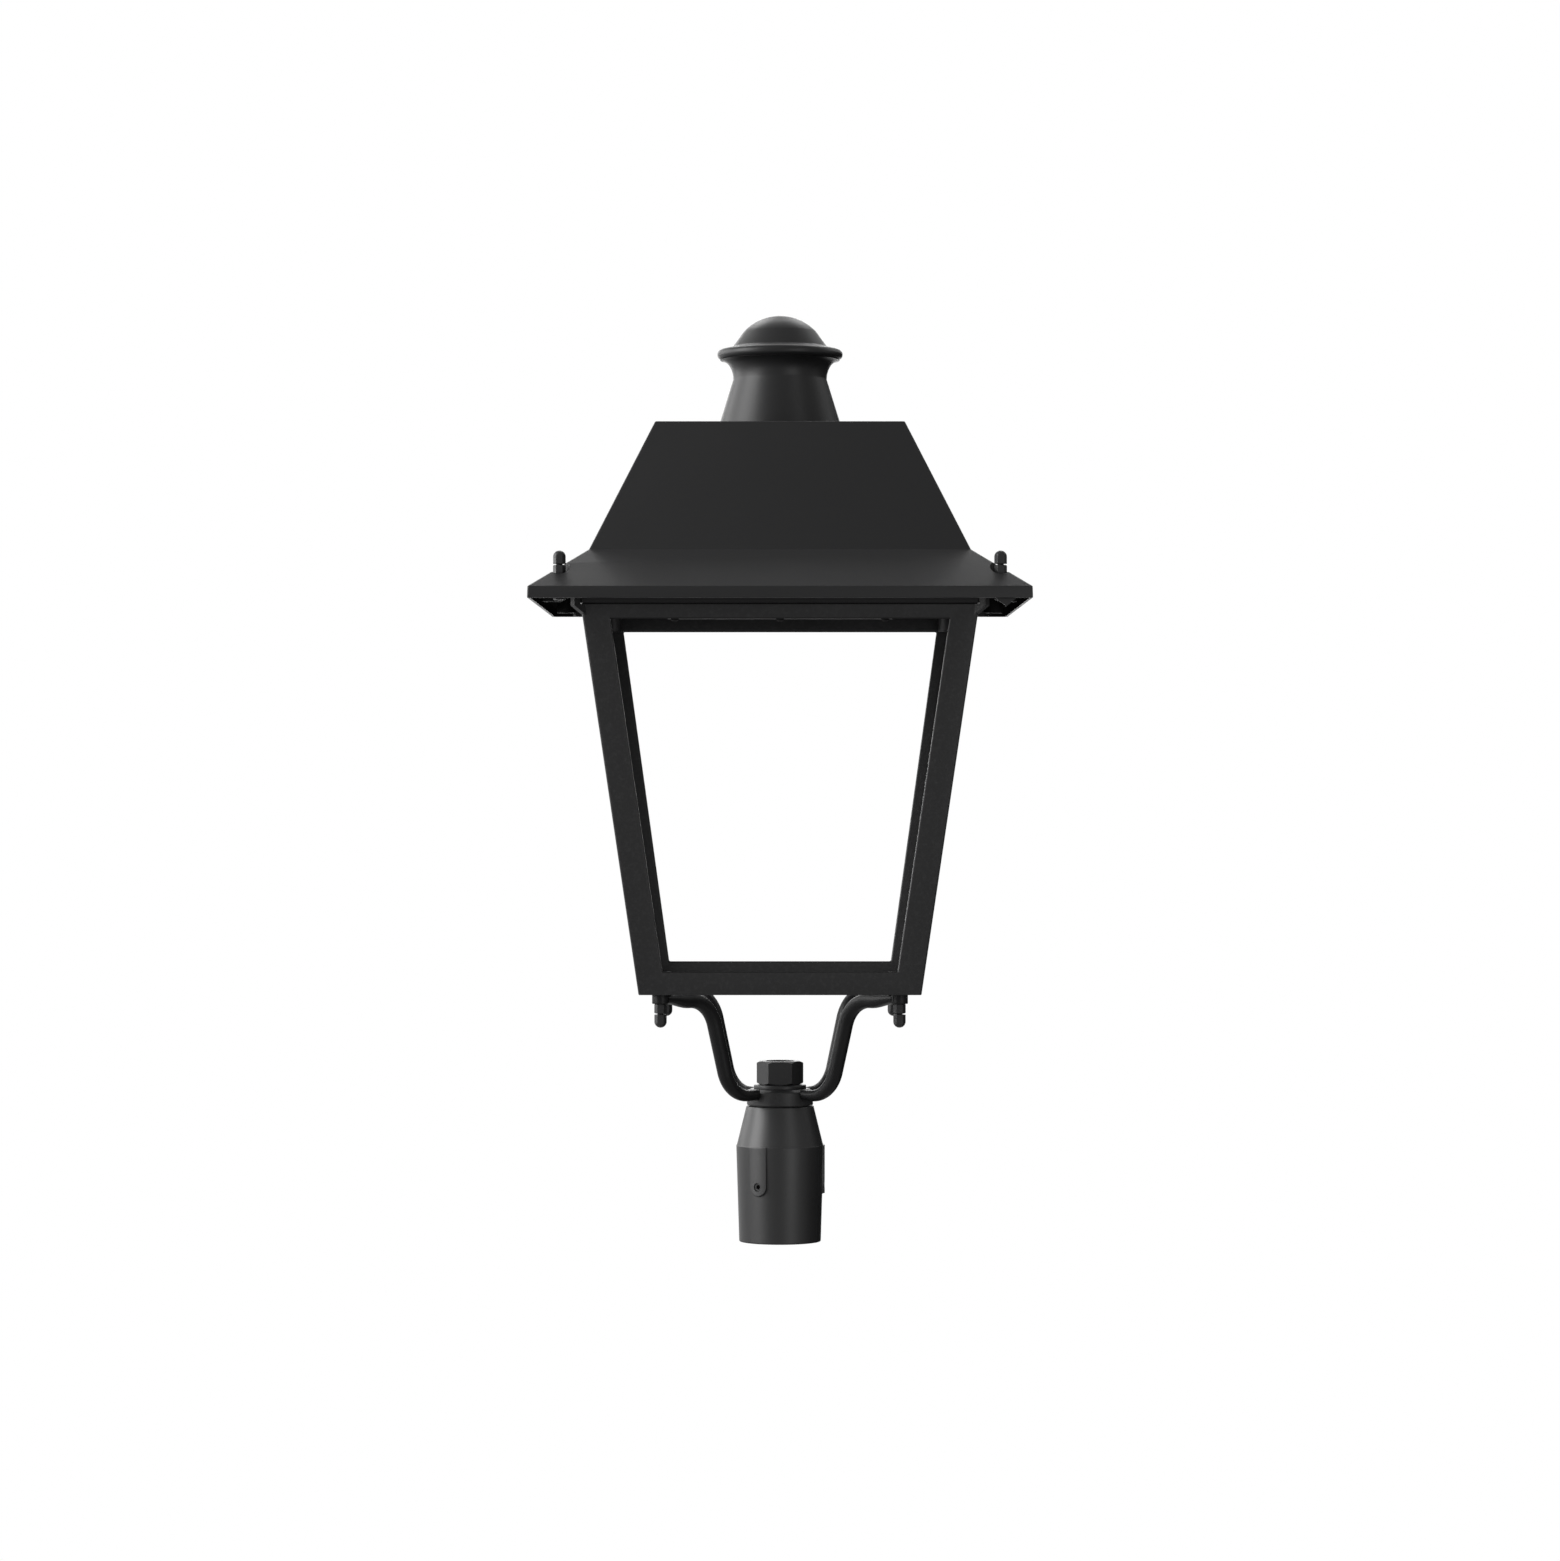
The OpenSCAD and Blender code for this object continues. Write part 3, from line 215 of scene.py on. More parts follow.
CORNERS = (1, 1), (-1, 1), (-1, -1), (1, -1)


def four(grid, x, y=None):
    """Copies of a grid at the four corners (x, y), (-x, y), (-x, -y) and (x, -y); y is x if not given."""
    y = x if y is None else y
    return [moved(grid, sx * x, sy * y) for sx, sy in CORNERS]


def span(part):
    """The lowest and highest corner of a CAD node, in mm."""
    low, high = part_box(part)
    return np.array(low) / MM, np.array(high) / MM


def levels(part):
    """The lowest and highest z of a CAD node, in mm."""
    return [corner[2] for corner in span(part)]


print("The post socket reaches from {:.1f} to {:.1f} mm".format(*levels("post_socket")))

# %% [markdown]
# ## Finishes
#
# The castings wear a satin black powder coat. Under a lens it is a fine orange peel, with specks where
# the powder clumped and slight changes in sheen. A picture could hold that pattern, but noise needs no
# unwrapping and has no seam. It reads Object coordinates, which are metres here, so a noise scale of
# 900 makes grains of about 1.1 mm. Values that are the same everywhere are set on the shader itself.

# %% Helpers for finishes
def finish(name, color, roughness, metallic=0.0, specular=0.5):
    """A Principled material with its plain values set on the shader's own sockets."""
    material = bpy.data.materials.new(name)
    material.use_nodes = True
    shader = material.node_tree.nodes["Principled BSDF"]
    shader.inputs["Base Color"].default_value = (*color, 1.0)
    shader.inputs["Roughness"].default_value = roughness
    shader.inputs["Metallic"].default_value = metallic
    shader.inputs["Specular IOR Level"].default_value = specular
    return material, material.node_tree, shader


def node(tree, kind, output, values=None, **settings):
    """Adds a shader node. Each value goes on its input, or is linked to it where the value is another
    node's output. Settings, such as operation, go on the node itself."""
    made = tree.nodes.new("ShaderNode" + kind)
    for key, setting in settings.items():
        setattr(made, key, setting)
    for key, value in (values or {}).items():
        if isinstance(value, bpy.types.NodeSocket):
            tree.links.new(value, made.inputs[key])
        else:
            made.inputs[key].default_value = value
    return made.outputs[output]


def noise(tree, scale, detail=3.0, rough=0.55):
    """A noise on Object coordinates; its grains are about 1 / scale metres."""
    place = node(tree, "TexCoord", "Object")
    values = {"Scale": scale, "Detail": detail, "Roughness": rough, "Vector": place}
    return node(tree, "TexNoise", "Fac", values)


def spread(tree, value, low, high, start=0.3, stop=0.7):
    """Maps a noise value between start and stop to a number between low and high."""
    values = {"From Min": start, "From Max": stop, "To Min": low, "To Max": high, "Value": value}
    return node(tree, "MapRange", "Result", values)


def tint(tree, value, dark, light):
    """Mixes two colours by a noise value."""
    values = {"A": (*dark, 1.0), "B": (*light, 1.0), "Factor": value}
    return node(tree, "Mix", "Result", values, data_type="RGBA")


def relief(tree, shader, value, height, strength=1.0, under=None):
    """Adds a bump of that height in metres, over another bump if one is given."""
    values = {"Distance": height, "Strength": strength, "Height": value}
    if under is not None:
        values["Normal"] = under
    bump = node(tree, "Bump", "Normal", values)
    tree.links.new(bump, shader.inputs["Normal"])
    return bump

# %% [markdown]
# ## Black coats
#
# One recipe gives all the blacks, because one powder line coated them. Cast parts are grainy and the
# roof's sheet is smooth. The arms and the socket take darker copies of the casting's coat, which is
# painted shade, and the socket has soft specks. The roof's inside is matt and darker, as painted
# shade, and the window's ledges are matt and a little paler, as painted light, so no lamp glints along them.

# %% Powder coats
def black(level, blue=None):
    """A near black: red and green at one level, and blue a trace above it where it is given."""
    return level, level, level if blue is None else blue


def powder_coat(name, dark, light, sheen, peel, specks, gloss=0.2, soft=0.12):
    """Orange peel as a bump of peel metres, patches of sheen 0.03 up and down, and specks of the light
    colour, which start where a noise passes specks and are full at specks + soft."""
    material, tree, shader = finish(name, dark, sheen, specular=gloss)
    patches = noise(tree, 9.0, 2.0)
    grain = noise(tree, 900.0, 2.0)
    speck = spread(tree, noise(tree, 260.0, 4.0, 0.7), 0.0, 1.0, specks, specks + soft)
    tree.links.new(tint(tree, speck, dark, light), shader.inputs["Base Color"])
    tree.links.new(spread(tree, patches, sheen - 0.03, sheen + 0.03), shader.inputs["Roughness"])
    first = relief(tree, shader, grain, peel)
    relief(tree, shader, noise(tree, 150.0, 2.0), peel * 2.0, 0.6, first)
    return material


coat_cast = powder_coat("satin_black_casting", black(0.0082, 0.0084), black(0.0145, 0.0148),
    sheen=0.44, peel=0.00011, specks=0.48, gloss=0.13, soft=0.3)
coat_sheet = powder_coat("satin_black_sheet", black(0.0068, 0.007), black(0.0095, 0.0097),
    sheen=0.42, peel=0.00002, specks=0.66, gloss=0.13)
coat_screw = powder_coat("black_hardware", black(0.0095, 0.0098), black(0.02),
    sheen=0.42, peel=0.00001, specks=0.62, gloss=0.13)
# The arms wear the casting's coat; their darker base is painted shade.
coat_rod_painted_shade = powder_coat("satin_black_rod_painted_shade", black(0.004, 0.0042), black(0.008, 0.0082),
    sheen=0.42, peel=0.00003, specks=0.62, gloss=0.08)
# The socket wears the casting's coat with more gloss; its darker base is painted shade.
coat_socket_painted_shade = powder_coat("satin_black_socket_painted_shade", black(0.0062, 0.0064), black(0.009, 0.0092),
    sheen=0.42, peel=0.00002, specks=0.64, gloss=0.21)
# The roof's inside: a darker matt copy of the coat, painted shade.
matt_inside_painted_shade = powder_coat("matt_black_inside_painted_shade", black(0.006), black(0.009),
    sheen=0.85, peel=0.00003, specks=0.6, gloss=0.0)
# The ledges' paler matt coat is painted light in place of glints.
matt_ledge_painted_light = powder_coat("matt_black_ledge_painted_light", black(0.013), black(0.017),
    sheen=0.85, peel=0.00003, specks=0.6, gloss=0.0)
# Oxide-black screws; the same black is painted shade on the roof's boss walls and the threaded tube.
oxide_black_and_painted_shade = powder_coat("oxide_black_screws_and_painted_shade", black(0.006), black(0.01),
    sheen=0.6, peel=0.00001, specks=0.62, gloss=0.04)
print("Coats:", [coat.name for coat in (coat_cast, coat_sheet, coat_screw, coat_rod_painted_shade, coat_socket_painted_shade)])
print("Duller blacks:", [coat.name for coat in (matt_inside_painted_shade, matt_ledge_painted_light, oxide_black_and_painted_shade)])

# %% [markdown]
# ## The other finishes
#
# Inside are bare metals, rubber, moulded plastics, a white circuit board and clear optics. They show
# when the roof is lifted or from below. A bare metal gets fine scratches of sheen, a plastic gets a
# faint grain, and the clear pieces pass light, with a trace of green for the toughened glass.

# %% Bare metals, plastics, rubber and optics
def plain_finish(name, color, roughness, metallic=0.0, vary=0.05, scale=60.0, bump=0.00001, shade=0.12,
        gloss=0.5):
    """A finish over a fine grain: the colour falls by the share shade and the roughness changes by vary
    up and down, from place to place."""
    material, tree, shader = finish(name, color, roughness, metallic, gloss)
    cloud = noise(tree, scale)
    darker = tuple(c * (1 - shade) for c in color)
    tree.links.new(tint(tree, cloud, darker, color), shader.inputs["Base Color"])
    tree.links.new(spread(tree, noise(tree, scale * 4), roughness - vary, roughness + vary),
        shader.inputs["Roughness"])
    relief(tree, shader, noise(tree, 1200.0), bump)
    return material


def clear_finish(name, color, roughness, ior):
    """A clear solid: light passes, bent by its index, with a faint waviness of the surface."""
    material, tree, shader = finish(name, color, roughness)
    shader.inputs["Transmission Weight"].default_value = 1.0
    shader.inputs["IOR"].default_value = ior
    relief(tree, shader, noise(tree, 25.0, 1.0), 0.00001, 0.3)
    return material


zinc = plain_finish("zinc_plate", (0.42, 0.43, 0.44), 0.34, 1.0, 0.07)
stainless = plain_finish("stainless_screws", (0.5, 0.5, 0.5), 0.26, 1.0, 0.05, 200.0)
fibre = plain_finish("black_fibre", (0.012, 0.012, 0.012), 0.75)
rubber = plain_finish("seal_rubber", (0.004, 0.004, 0.004), 0.8, bump=0.00003, gloss=0.1)
bare_sink = plain_finish("bare_aluminium", (0.5, 0.51, 0.52), 0.38, 1.0, 0.08, 40.0)
board = plain_finish("white_board", (0.8, 0.8, 0.77), 0.4, shade=0.05)
phosphor = plain_finish("led_phosphor", (0.8, 0.62, 0.08), 0.45, shade=0.08)
grey_case = plain_finish("driver_paint", (0.6, 0.61, 0.62), 0.42, bump=0.00003)
pale_plastic = plain_finish("gear_plastic", (0.7, 0.69, 0.64), 0.5, shade=0.05)
dark_plastic = plain_finish("gland_plastic", (0.04, 0.04, 0.042), 0.5)
lens_clear = clear_finish("lens_acrylic", (0.97, 0.98, 0.98), 0.04, 1.49)
glass_clear = clear_finish("toughened_glass", (0.93, 0.97, 0.95), 0.0, 1.5)
print("Finishes:", len(bpy.data.materials))

# %% [markdown]
# ## Seating a piece
#
# A new piece rides on the body that its CAD node belongs to and takes that node's place. A narrow
# bevel on crisp edges catches the light as real edges do, and weighted normals keep the flats beside it
# flat. Where a piece wears two coats, a test on the centres and normals of its faces picks the ones for
# the second, so the shape stays one mesh.

# %% Seat and bevel
def seat(piece, body, slot, material, *nodes, bevel=0.0):
    """Gives a piece its finish, body, the CAD nodes it stands for, and a bevel in mm if asked. The slot is
    not used.
    """
    piece.data.materials.clear()
    piece.data.materials.append(material)
    if bevel:
        edge = piece.modifiers.new("edges", "BEVEL")
        edge.width = bevel * MM
        edge.segments = 2
        edge.angle_limit = math.radians(32)
        edge.harden_normals = False
        piece.modifiers.new("flats", "WEIGHTED_NORMAL").keep_sharp = True
    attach(piece, body)
    if nodes:
        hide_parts(*nodes)
    print(piece.name, "stands for", ", ".join(nodes) or "nothing", "with", len(piece.data.polygons), "faces")
    return piece


def turned(part, grids, body, slot, material, bevel=0.0, sharp=32.0):
    """Builds and seats a turned piece in place of one CAD node."""
    return seat(build(part + "_turned", grids, sharp), body, slot, material, part, bevel=bevel)

# %% Carve and repaint
def carve(piece, cutter, operation="DIFFERENCE", sharp=32.0):
    """Cuts, joins or meets one solid with another, and keeps the result as the piece's mesh."""
    change = piece.modifiers.new("carve", "BOOLEAN")
    change.operation = operation
    change.solver = "EXACT"
    change.object = cutter
    graph = bpy.context.evaluated_depsgraph_get()
    result = bpy.data.meshes.new_from_object(piece.evaluated_get(graph))
    piece.modifiers.clear()
    piece.data = result
    bpy.data.objects.remove(cutter)
    tidy(piece, sharp)
    return piece


def repaint(piece, material, test):
    """Gives another finish to the faces whose centre in mm, and normal, pass a test."""
    polygons = piece.data.polygons
    centre, normal = np.empty(len(polygons) * 3), np.empty(len(polygons) * 3)
    polygons.foreach_get("center", centre)
    polygons.foreach_get("normal", normal)
    chosen = test(centre.reshape(-1, 3).T / MM, normal.reshape(-1, 3).T)
    slots = np.empty(len(polygons), np.int32)
    polygons.foreach_get("material_index", slots)
    slots[chosen] = len(piece.data.materials)
    piece.data.materials.append(material)
    polygons.foreach_set("material_index", slots)
    print(piece.name, "has", int(chosen.sum()), "faces in", material.name)

# %% [markdown]
# ## The post socket
#
# The casting that slips over the post is a tapered sleeve with a cone on top. Three pads stand proud
# of it around the set screws: each is a tall stadium whose top runs out at the cone. A modeller could
# cut them with many loops; here the radius itself is a function of angle and height. Inside a pad's
# outline it rises from the sleeve to the pad, over 0.7 mm, by the smooth step 3 t^2 - 2 t^3.

# %% The sleeve's radius
SOCKET_H = levels("post_socket")[1]
SCREW_ANGLES = {"right": 0, "back": 120, "left": 240}
SCREW_Z, PAD_HALF, PAD_R, PAD_EDGE = 53.4, 9.0, 42.0, 0.7
BODY_H, MOUTH_R, BODY_R, CONE_R = 90.5, 38.3, 41.0, 31.5
BORE_R, BORE_H, MOUTH_BORE_R, TUBE_HOLE, BRIM_R = 30.5, 84.0, 31.1, 13.6, 40.4
print("Bore of the socket:", 2 * BORE_R, "mm wide and", BORE_H, "mm deep")


def smooth(t):
    """The smooth step 3 t^2 - 2 t^3, from 0 to 1."""
    t = np.clip(t, 0, 1)
    return 3 * t ** 2 - 2 * t ** 3


def pad_rise(angle, z):
    """How far a point belongs to a pad, from 0 to 1, by its distance inside the pad's stadium outline."""
    inside = np.full(np.broadcast(angle, z).shape, -9.0)
    for middle in SCREW_ANGLES.values():
        turn_by = np.mod(angle - math.radians(middle) + np.pi, 2 * np.pi) - np.pi
        side = BODY_R * np.sin(np.clip(turn_by, -1.2, 1.2))
        below = np.minimum(z - SCREW_Z, 0)
        inside = np.maximum(inside, PAD_HALF - np.hypot(side, below))
    return smooth(inside / PAD_EDGE)


def sleeve():
    """Rows from the bore's mouth up the outside and down the inside; body rows carry the pads."""
    fine = np.arange(43.5, 54.5, 0.4)
    body_z = np.concatenate([[1.0, 1.8, 12, 28, 42], fine, [62, 74, BODY_H - 1.2, BODY_H - 0.6]])
    near = np.concatenate([np.arange(a - 15, a + 15.1, 0.5) for a in SCREW_ANGLES.values()])
    degrees = np.unique(np.round(np.mod(np.concatenate([np.arange(0, 360, 3), near]), 360), 3))
    a = np.radians(degrees)[None, :]
    z = body_z[:, None]
    plain = MOUTH_R + (BODY_R - MOUTH_R) * (z - 1) / (BODY_H - 1.6)
    rise = pad_rise(a, z)
    body_r = plain + (PAD_R - plain) * rise
    brim = np.concatenate([BODY_R - 0.4 + (PAD_R - BODY_R) * rise[-1:], 0 * a + BRIM_R])
    cone = rounded([(BRIM_R, BODY_H), (CONE_R, SOCKET_H - 0.1), (TUBE_HOLE, SOCKET_H)], [0.6])
    straight = [cone[0] + (cone[1] - cone[0]) * t for t in (0.02, 0.97)]
    inside = [(TUBE_HOLE, 112.0), (20, 112.0), (24, 92.0), (24, BORE_H), (BORE_R, BORE_H), (BORE_R, 0.6),
        (MOUTH_BORE_R, 0.0)]
    rest = np.concatenate([straight, cone[1:], inside])
    foot = rounded([(MOUTH_BORE_R, 0.0), (MOUTH_R - 0.2, 0.0), (MOUTH_R, 1.0)], [0.7])[:-1]
    radii = np.concatenate([foot[:, :1] + 0 * a, body_r, brim, rest[:, :1] + 0 * a])
    heights = np.concatenate([foot[:, 1], body_z, [BODY_H, BODY_H], rest[:, 1]])[:, None] + 0 * a
    return polar(radii, a, heights)

# %% The socket, with its screw holes
def radial(grid, angle, reach, z):
    """Lays a grid that stands along Z on its side: its Z becomes the way out from the axis, at an angle."""
    flat = np.stack([grid[..., 2] + reach, grid[..., 1], z - grid[..., 0]], axis=-1)
    return spun(flat, angle)


socket = build("socket_casting", [sleeve()], 38)
DRILL_R = 4.05
drill = turn([(0, 0), (DRILL_R, 0), (DRILL_R, 20), (0, 20)], 40)
holes = build("holes", [radial(drill, a, 26.0, SCREW_Z) for a in SCREW_ANGLES.values()])
# The socket's darker coat is painted shade on the casting's black.
seat(carve(socket, holes, sharp=38), "socket", "black_casting", coat_socket_painted_shade, "post_socket")

# %% [markdown]
# ## Set screws
#
# Three hexagon-socket set screws grip the post. A set screw is a hexagonal turning inside out: the
# outside is round and the recess in its end has six flats. They sit 1.3 mm under the pads' faces.

# %% Set screws
SET_SCREW_IN = 30.9
EDGE = -1.0


def hexed(flats, profile, columns=48):
    """Rows of (radius, height, chamfer). Where the radius is EDGE it is the hexagon's own, which is
    flats / 2 / cos(angle from a flat), and chamfer times tan 30 lifts each corner."""
    a = around(columns)
    edge = flats / 2 / np.cos(np.mod(a, np.pi / 3) - np.pi / 6)
    rise = (edge - flats / 2 + 0.3) * math.tan(math.radians(30))
    size, z, chamfer = np.asarray(profile, float).T[:, :, None]
    r = np.where(size == EDGE, edge, size)
    return polar(r, a, z + chamfer * rise)


screw = hexed(4.0, [(0, 0, 0), (3, 0, 0), (4, 1, 0), (4, 9.5, 0), (3.7, 9.8, 0), (EDGE, 9.8, 0),
    (EDGE, 5.8, 0), (0, 5.0, 0)])
for side, angle in SCREW_ANGLES.items():
    turned("set_screw_" + side, [radial(screw, angle, SET_SCREW_IN, SCREW_Z)], side + "_set_screw",
        "black_hardware", coat_screw)

# %% [markdown]
# ## Threads and nuts
#
# A thread is a radius that falls and rises once per pitch while its phase goes once round: the depth
# is a triangle wave of z / pitch - angle / 360. A nut is a hexagonal turning whose corners are cut by
# a 30 degree cone, so the chamfer's edge dips at each corner by itself. A cap nut is the smaller of a
# hexagon and a ball at each height, which rounds its top and leaves its flats.

# %% Thread, nut and cap nut
M6_R, M6_PITCH, M6_FLATS, M6_HOLE = 3, 1.0, 10, 3.05


def thread(radius, pitch, low, high, columns=20, bore=0.0):
    """A threaded rod: r = radius - 0.3 pitch |2 frac(z / pitch - a / 2 pi) - 1|, closed at both ends."""
    z = np.arange(low, high, pitch / 5)[:, None]
    a = around(columns)
    wave = np.abs(2 * np.mod(z / pitch - a / (2 * np.pi), 1) - 1)
    r = radius - 0.3 * pitch * wave
    inner, lead = 0 * r[:1] + bore, 0 * r[:1] + radius * 0.88
    r = np.concatenate([inner, lead, r, lead, inner, inner])
    z = np.concatenate([[low, low], z[:, 0], [high, high, low]])[:, None] + 0 * a
    return polar(r, a, z)


def nut(flats, height, hole):
    """A hexagon nut, chamfered at both ends, with a plain hole."""
    flat = flats / 2 - 0.3
    return hexed(flats, [(hole, 0, 0), (flat, 0, 0), (EDGE, 0, 1), (EDGE, height, -1), (flat, height, 0),
        (hole, height, 0), (hole, 0, 0)], 96)


def nut_for(part, flats, hole):
    """A nut that fills the height of its CAD node."""
    low, high = levels(part)
    return moved(nut(flats, high - low, hole), z=low)


def cap_nut(flats, height):
    """A hexagon bar with a round top: radius min(hexagon, R cos a) at height top + R sin a."""
    corner = flats / math.sqrt(3) - 0.1
    top = height - corner
    turn_by = np.radians(np.arange(0, 361, 5.0))
    hexagon = flats / 2 / np.cos(turn_by % (np.pi / 3) - np.pi / 6)
    a = np.radians(np.linspace(0, 90, 14))
    reach = [0 * hexagon, hexagon - 0.25, np.minimum(hexagon, corner)]
    reach = np.array(reach + [np.minimum(hexagon, corner * c) for c in np.cos(a)])
    z = np.array([0, 0, 0.25, *(top + corner * np.sin(a))])[:, None] + 0 * hexagon
    return polar(reach, turn_by, z)

# %% Screw heads
def bolt_head(flats, height):
    """A hexagon head on z = 0, chamfered on top only."""
    flat = flats / 2 - 0.3
    return hexed(flats, [(0, 0, 0), (EDGE, 0, 0), (EDGE, height, -1), (flat, height, 0), (0, height, 0)])


def button_head(d):
    """A rounded screw head on z = 0 with a hexagonal recess."""
    rows = [(0, 0, 0), (0.95 * d, 0, 0), (0.95 * d, 0.15 * d, 0), (0.8 * d, 0.42 * d, 0),
        (0.5 * d, 0.56 * d, 0), (EDGE, 0.6 * d, 0), (EDGE, 0.25 * d, 0), (0, 0.2 * d, 0)]
    return hexed(0.62 * d, rows, 36)


print("M6 cap nut:", cap_nut(M6_FLATS, 9).shape, "points; M6 bolt head:", bolt_head(M6_FLATS, 4).shape)

# %% [markdown]
# ## The threaded tube and its big nut
#
# The supply cable rises through a gas-pipe tube. A nut inside the socket holds it from below, and the
# big nut on top clamps the fork's hub, so the lantern can be turned before it is tightened. The tube
# takes the darkest black as painted shade, because its open end looks dark from the side.

# %% Tube and nuts
TUBE_R, TUBE_BORE, TUBE_PITCH, TUBE_CLEAR, CLAMP_FLATS = 13.45, 10.8, 2.3, 13.5, 38.0
low, high = levels("threaded_tube")
# The tube's darkest black is painted shade for its open end.
turned("threaded_tube", [thread(TUBE_R, TUBE_PITCH, low, high, 48, TUBE_BORE)], "socket", "black_hardware",
    oxide_black_and_painted_shade, sharp=60)

back_low, back_high = span("tube_back_nut")
back_nut = nut_for("tube_back_nut", back_high[1] - back_low[1], TUBE_CLEAR)
seat(build("back_nut", [back_nut]), "socket", "zinc_steel", zinc, "tube_back_nut", bevel=0.3)

turned("clamp_nut", [nut_for("clamp_nut", CLAMP_FLATS, TUBE_CLEAR)], "socket", "black_hardware",
    coat_screw, 0.45)

# %% Washers
low, high = levels("clamp_washer")
ring_line = rounded([(TUBE_CLEAR, 0), (24.5, 0), (24.5, high - low), (TUBE_CLEAR, 3.7), (TUBE_CLEAR, 0)],
    [0.3, 1.1, 0.2])
turned("clamp_washer", [turn(ring_line, 96, low)], "socket", "black_hardware", coat_screw)

thin_line = rounded(ring_section(TUBE_CLEAR, 27, 0.9), [0.2, 0.2, 0.1])
turned("turning_washer", [turn(thin_line, 96, levels("turning_washer")[0])], "socket", "black_fibre", fibre)

# %% [markdown]
# ## The fork
#
# Four arms leave the hub level, bend up, lean out and bend level again to the bolts under the frame.
# They thin towards the hub. The centre line lives in one upright plane: a level start, an arc, a
# straight run and an arc back. At each point a ring is carried along, turned to the line's direction,
# and the last rings flatten into the eye.

# %% The arm's centre line
FRAME_Z = levels("bottom_ring")[0]
hub_z, hub_top = levels("fork_hub")
BOLT_X = span("fork_nuts")[1][0] - M6_FLATS / math.sqrt(3)
FOOT_R = BOLT_X * math.sqrt(2)
ROD, ROOT, EYE_H, EYE_D, HUB_R = 14.0, 9.0, 8.8, 15.5, 31
UP_R, LOW_R, STEEP = 32.5, 31.5, math.radians(90 - 16.6)
RUN_Z, ROOT_Z = FRAME_Z - ROD / 2, hub_z + 10.4
ROOT_X, BEND_IN, FLAT_FROM, FLAT_TO = 27.0, 61.8, 34, 4


def arm_line():
    """(distance, height, direction t) along the arm, from the hub to where the foot starts to flatten. A
    bend of radius R starts at direction 0 and goes R sin t out and R (1 - cos t) up."""
    corner = FOOT_R - BEND_IN
    cut = math.tan(STEEP / 2) * UP_R
    up_x, up_z = corner - cut * math.cos(STEEP), RUN_Z - cut * math.sin(STEEP)
    low_z = ROOT_Z + LOW_R * (1 - math.cos(STEEP))
    low_x = up_x - (up_z - low_z) / math.tan(STEEP)
    t = np.linspace(0, STEEP, 18)
    bend_x, bend_z = LOW_R * (np.sin(t) - math.sin(STEEP)), LOW_R * (1 - np.cos(t))
    low = np.stack([low_x + bend_x, ROOT_Z + bend_z, t], axis=1)
    t = t[::-1]
    bend_x, bend_z = UP_R * (math.sin(STEEP) - np.sin(t)), UP_R * (np.cos(t) - math.cos(STEEP))
    up = np.stack([up_x + bend_x, up_z + bend_z, t], axis=1)
    return np.concatenate([[(ROOT_X, ROOT_Z, 0.0)], low, up]), low_x


def ring_along(line, half_w, half_h, sides=32):
    """Ellipses across a line: (x - h sin a sin d, w cos a, z + h sin a cos d) for each direction d."""
    x, z, d = line.T[:, :, None]
    a = around(sides)
    w, h = np.asarray(half_w)[:, None], np.asarray(half_h)[:, None]
    return np.stack([x - h * np.sin(a) * np.sin(d), w * np.cos(a), z + h * np.sin(a) * np.cos(d)], axis=-1)

# %% The arms
def arm_grids():
    """The swept arm with a flattening foot, and the eye as a turned ring."""
    line, low_x = arm_line()
    radius = (ROOT + (ROD - ROOT) * np.clip((line[:, 0] - HUB_R) / (low_x - HUB_R), 0, 1)) / 2
    t = np.linspace(0, 1, 7)
    h = (ROD + (EYE_H - ROD) * smooth(t)) / 2
    foot = np.stack([FOOT_R - FLAT_FROM + (FLAT_FROM - FLAT_TO) * t, FRAME_Z - h, 0 * t], axis=1)
    w = (ROD + (EYE_D - ROD) * t) / 2
    rings = ring_along(np.concatenate([line, foot]), np.concatenate([radius, w - 0.3 * t]),
        np.concatenate([radius, h]))
    ends = [np.broadcast_to(rings[i].mean(axis=0), rings[i].shape)[None] for i in (0, -1)]
    arm = np.concatenate([ends[0], rings, ends[1]])
    eye = rounded(ring_section(M6_HOLE, EYE_D / 2, EYE_H), [0.8, 0.5, 0.2])
    return [arm, moved(turn(eye, 48, FRAME_Z - EYE_H), x=FOOT_R)]


for name, angle in (("front_left", 225), ("front_right", 315), ("back_right", 45), ("back_left", 135)):
    arm = build("arm_" + name, [spun(g, angle) for g in arm_grids()], 45)
    # The arms' darker coat is painted shade on the casting's black.
    seat(arm, "lantern", "black_casting", coat_rod_painted_shade, "fork_arm_" + name)

tall = hub_top - hub_z
hub_line = rounded([(TUBE_CLEAR, 0), (HUB_R, 0), (HUB_R, tall - 2.2), (27, tall), (TUBE_CLEAR, tall),
    (TUBE_CLEAR, 0)], [0.8, 1.6, 1.6, 0.3])
turned("fork_hub", [turn(hub_line, 128, hub_z)], "lantern", "black_casting", coat_cast)

# %% Fork fasteners
def corner_nuts(place, body, x, hole, hanging):
    """A nut and a cap nut on each of the four studs at (x, x). Hanging ones have the cap nut upside down."""
    nuts = four(nut_for(place + "_nuts", M6_FLATS, hole), x)
    turned(place + "_nuts", nuts, body, "black_hardware", coat_screw, 0.2)
    low, high = levels(place + "_cap_nuts")
    cap = cap_nut(M6_FLATS, high - low)
    cap = flipped(moved(cap, z=high), high) if hanging else moved(cap, z=low)
    turned(place + "_cap_nuts", four(cap, x), body, "black_hardware", coat_screw, 0.2)


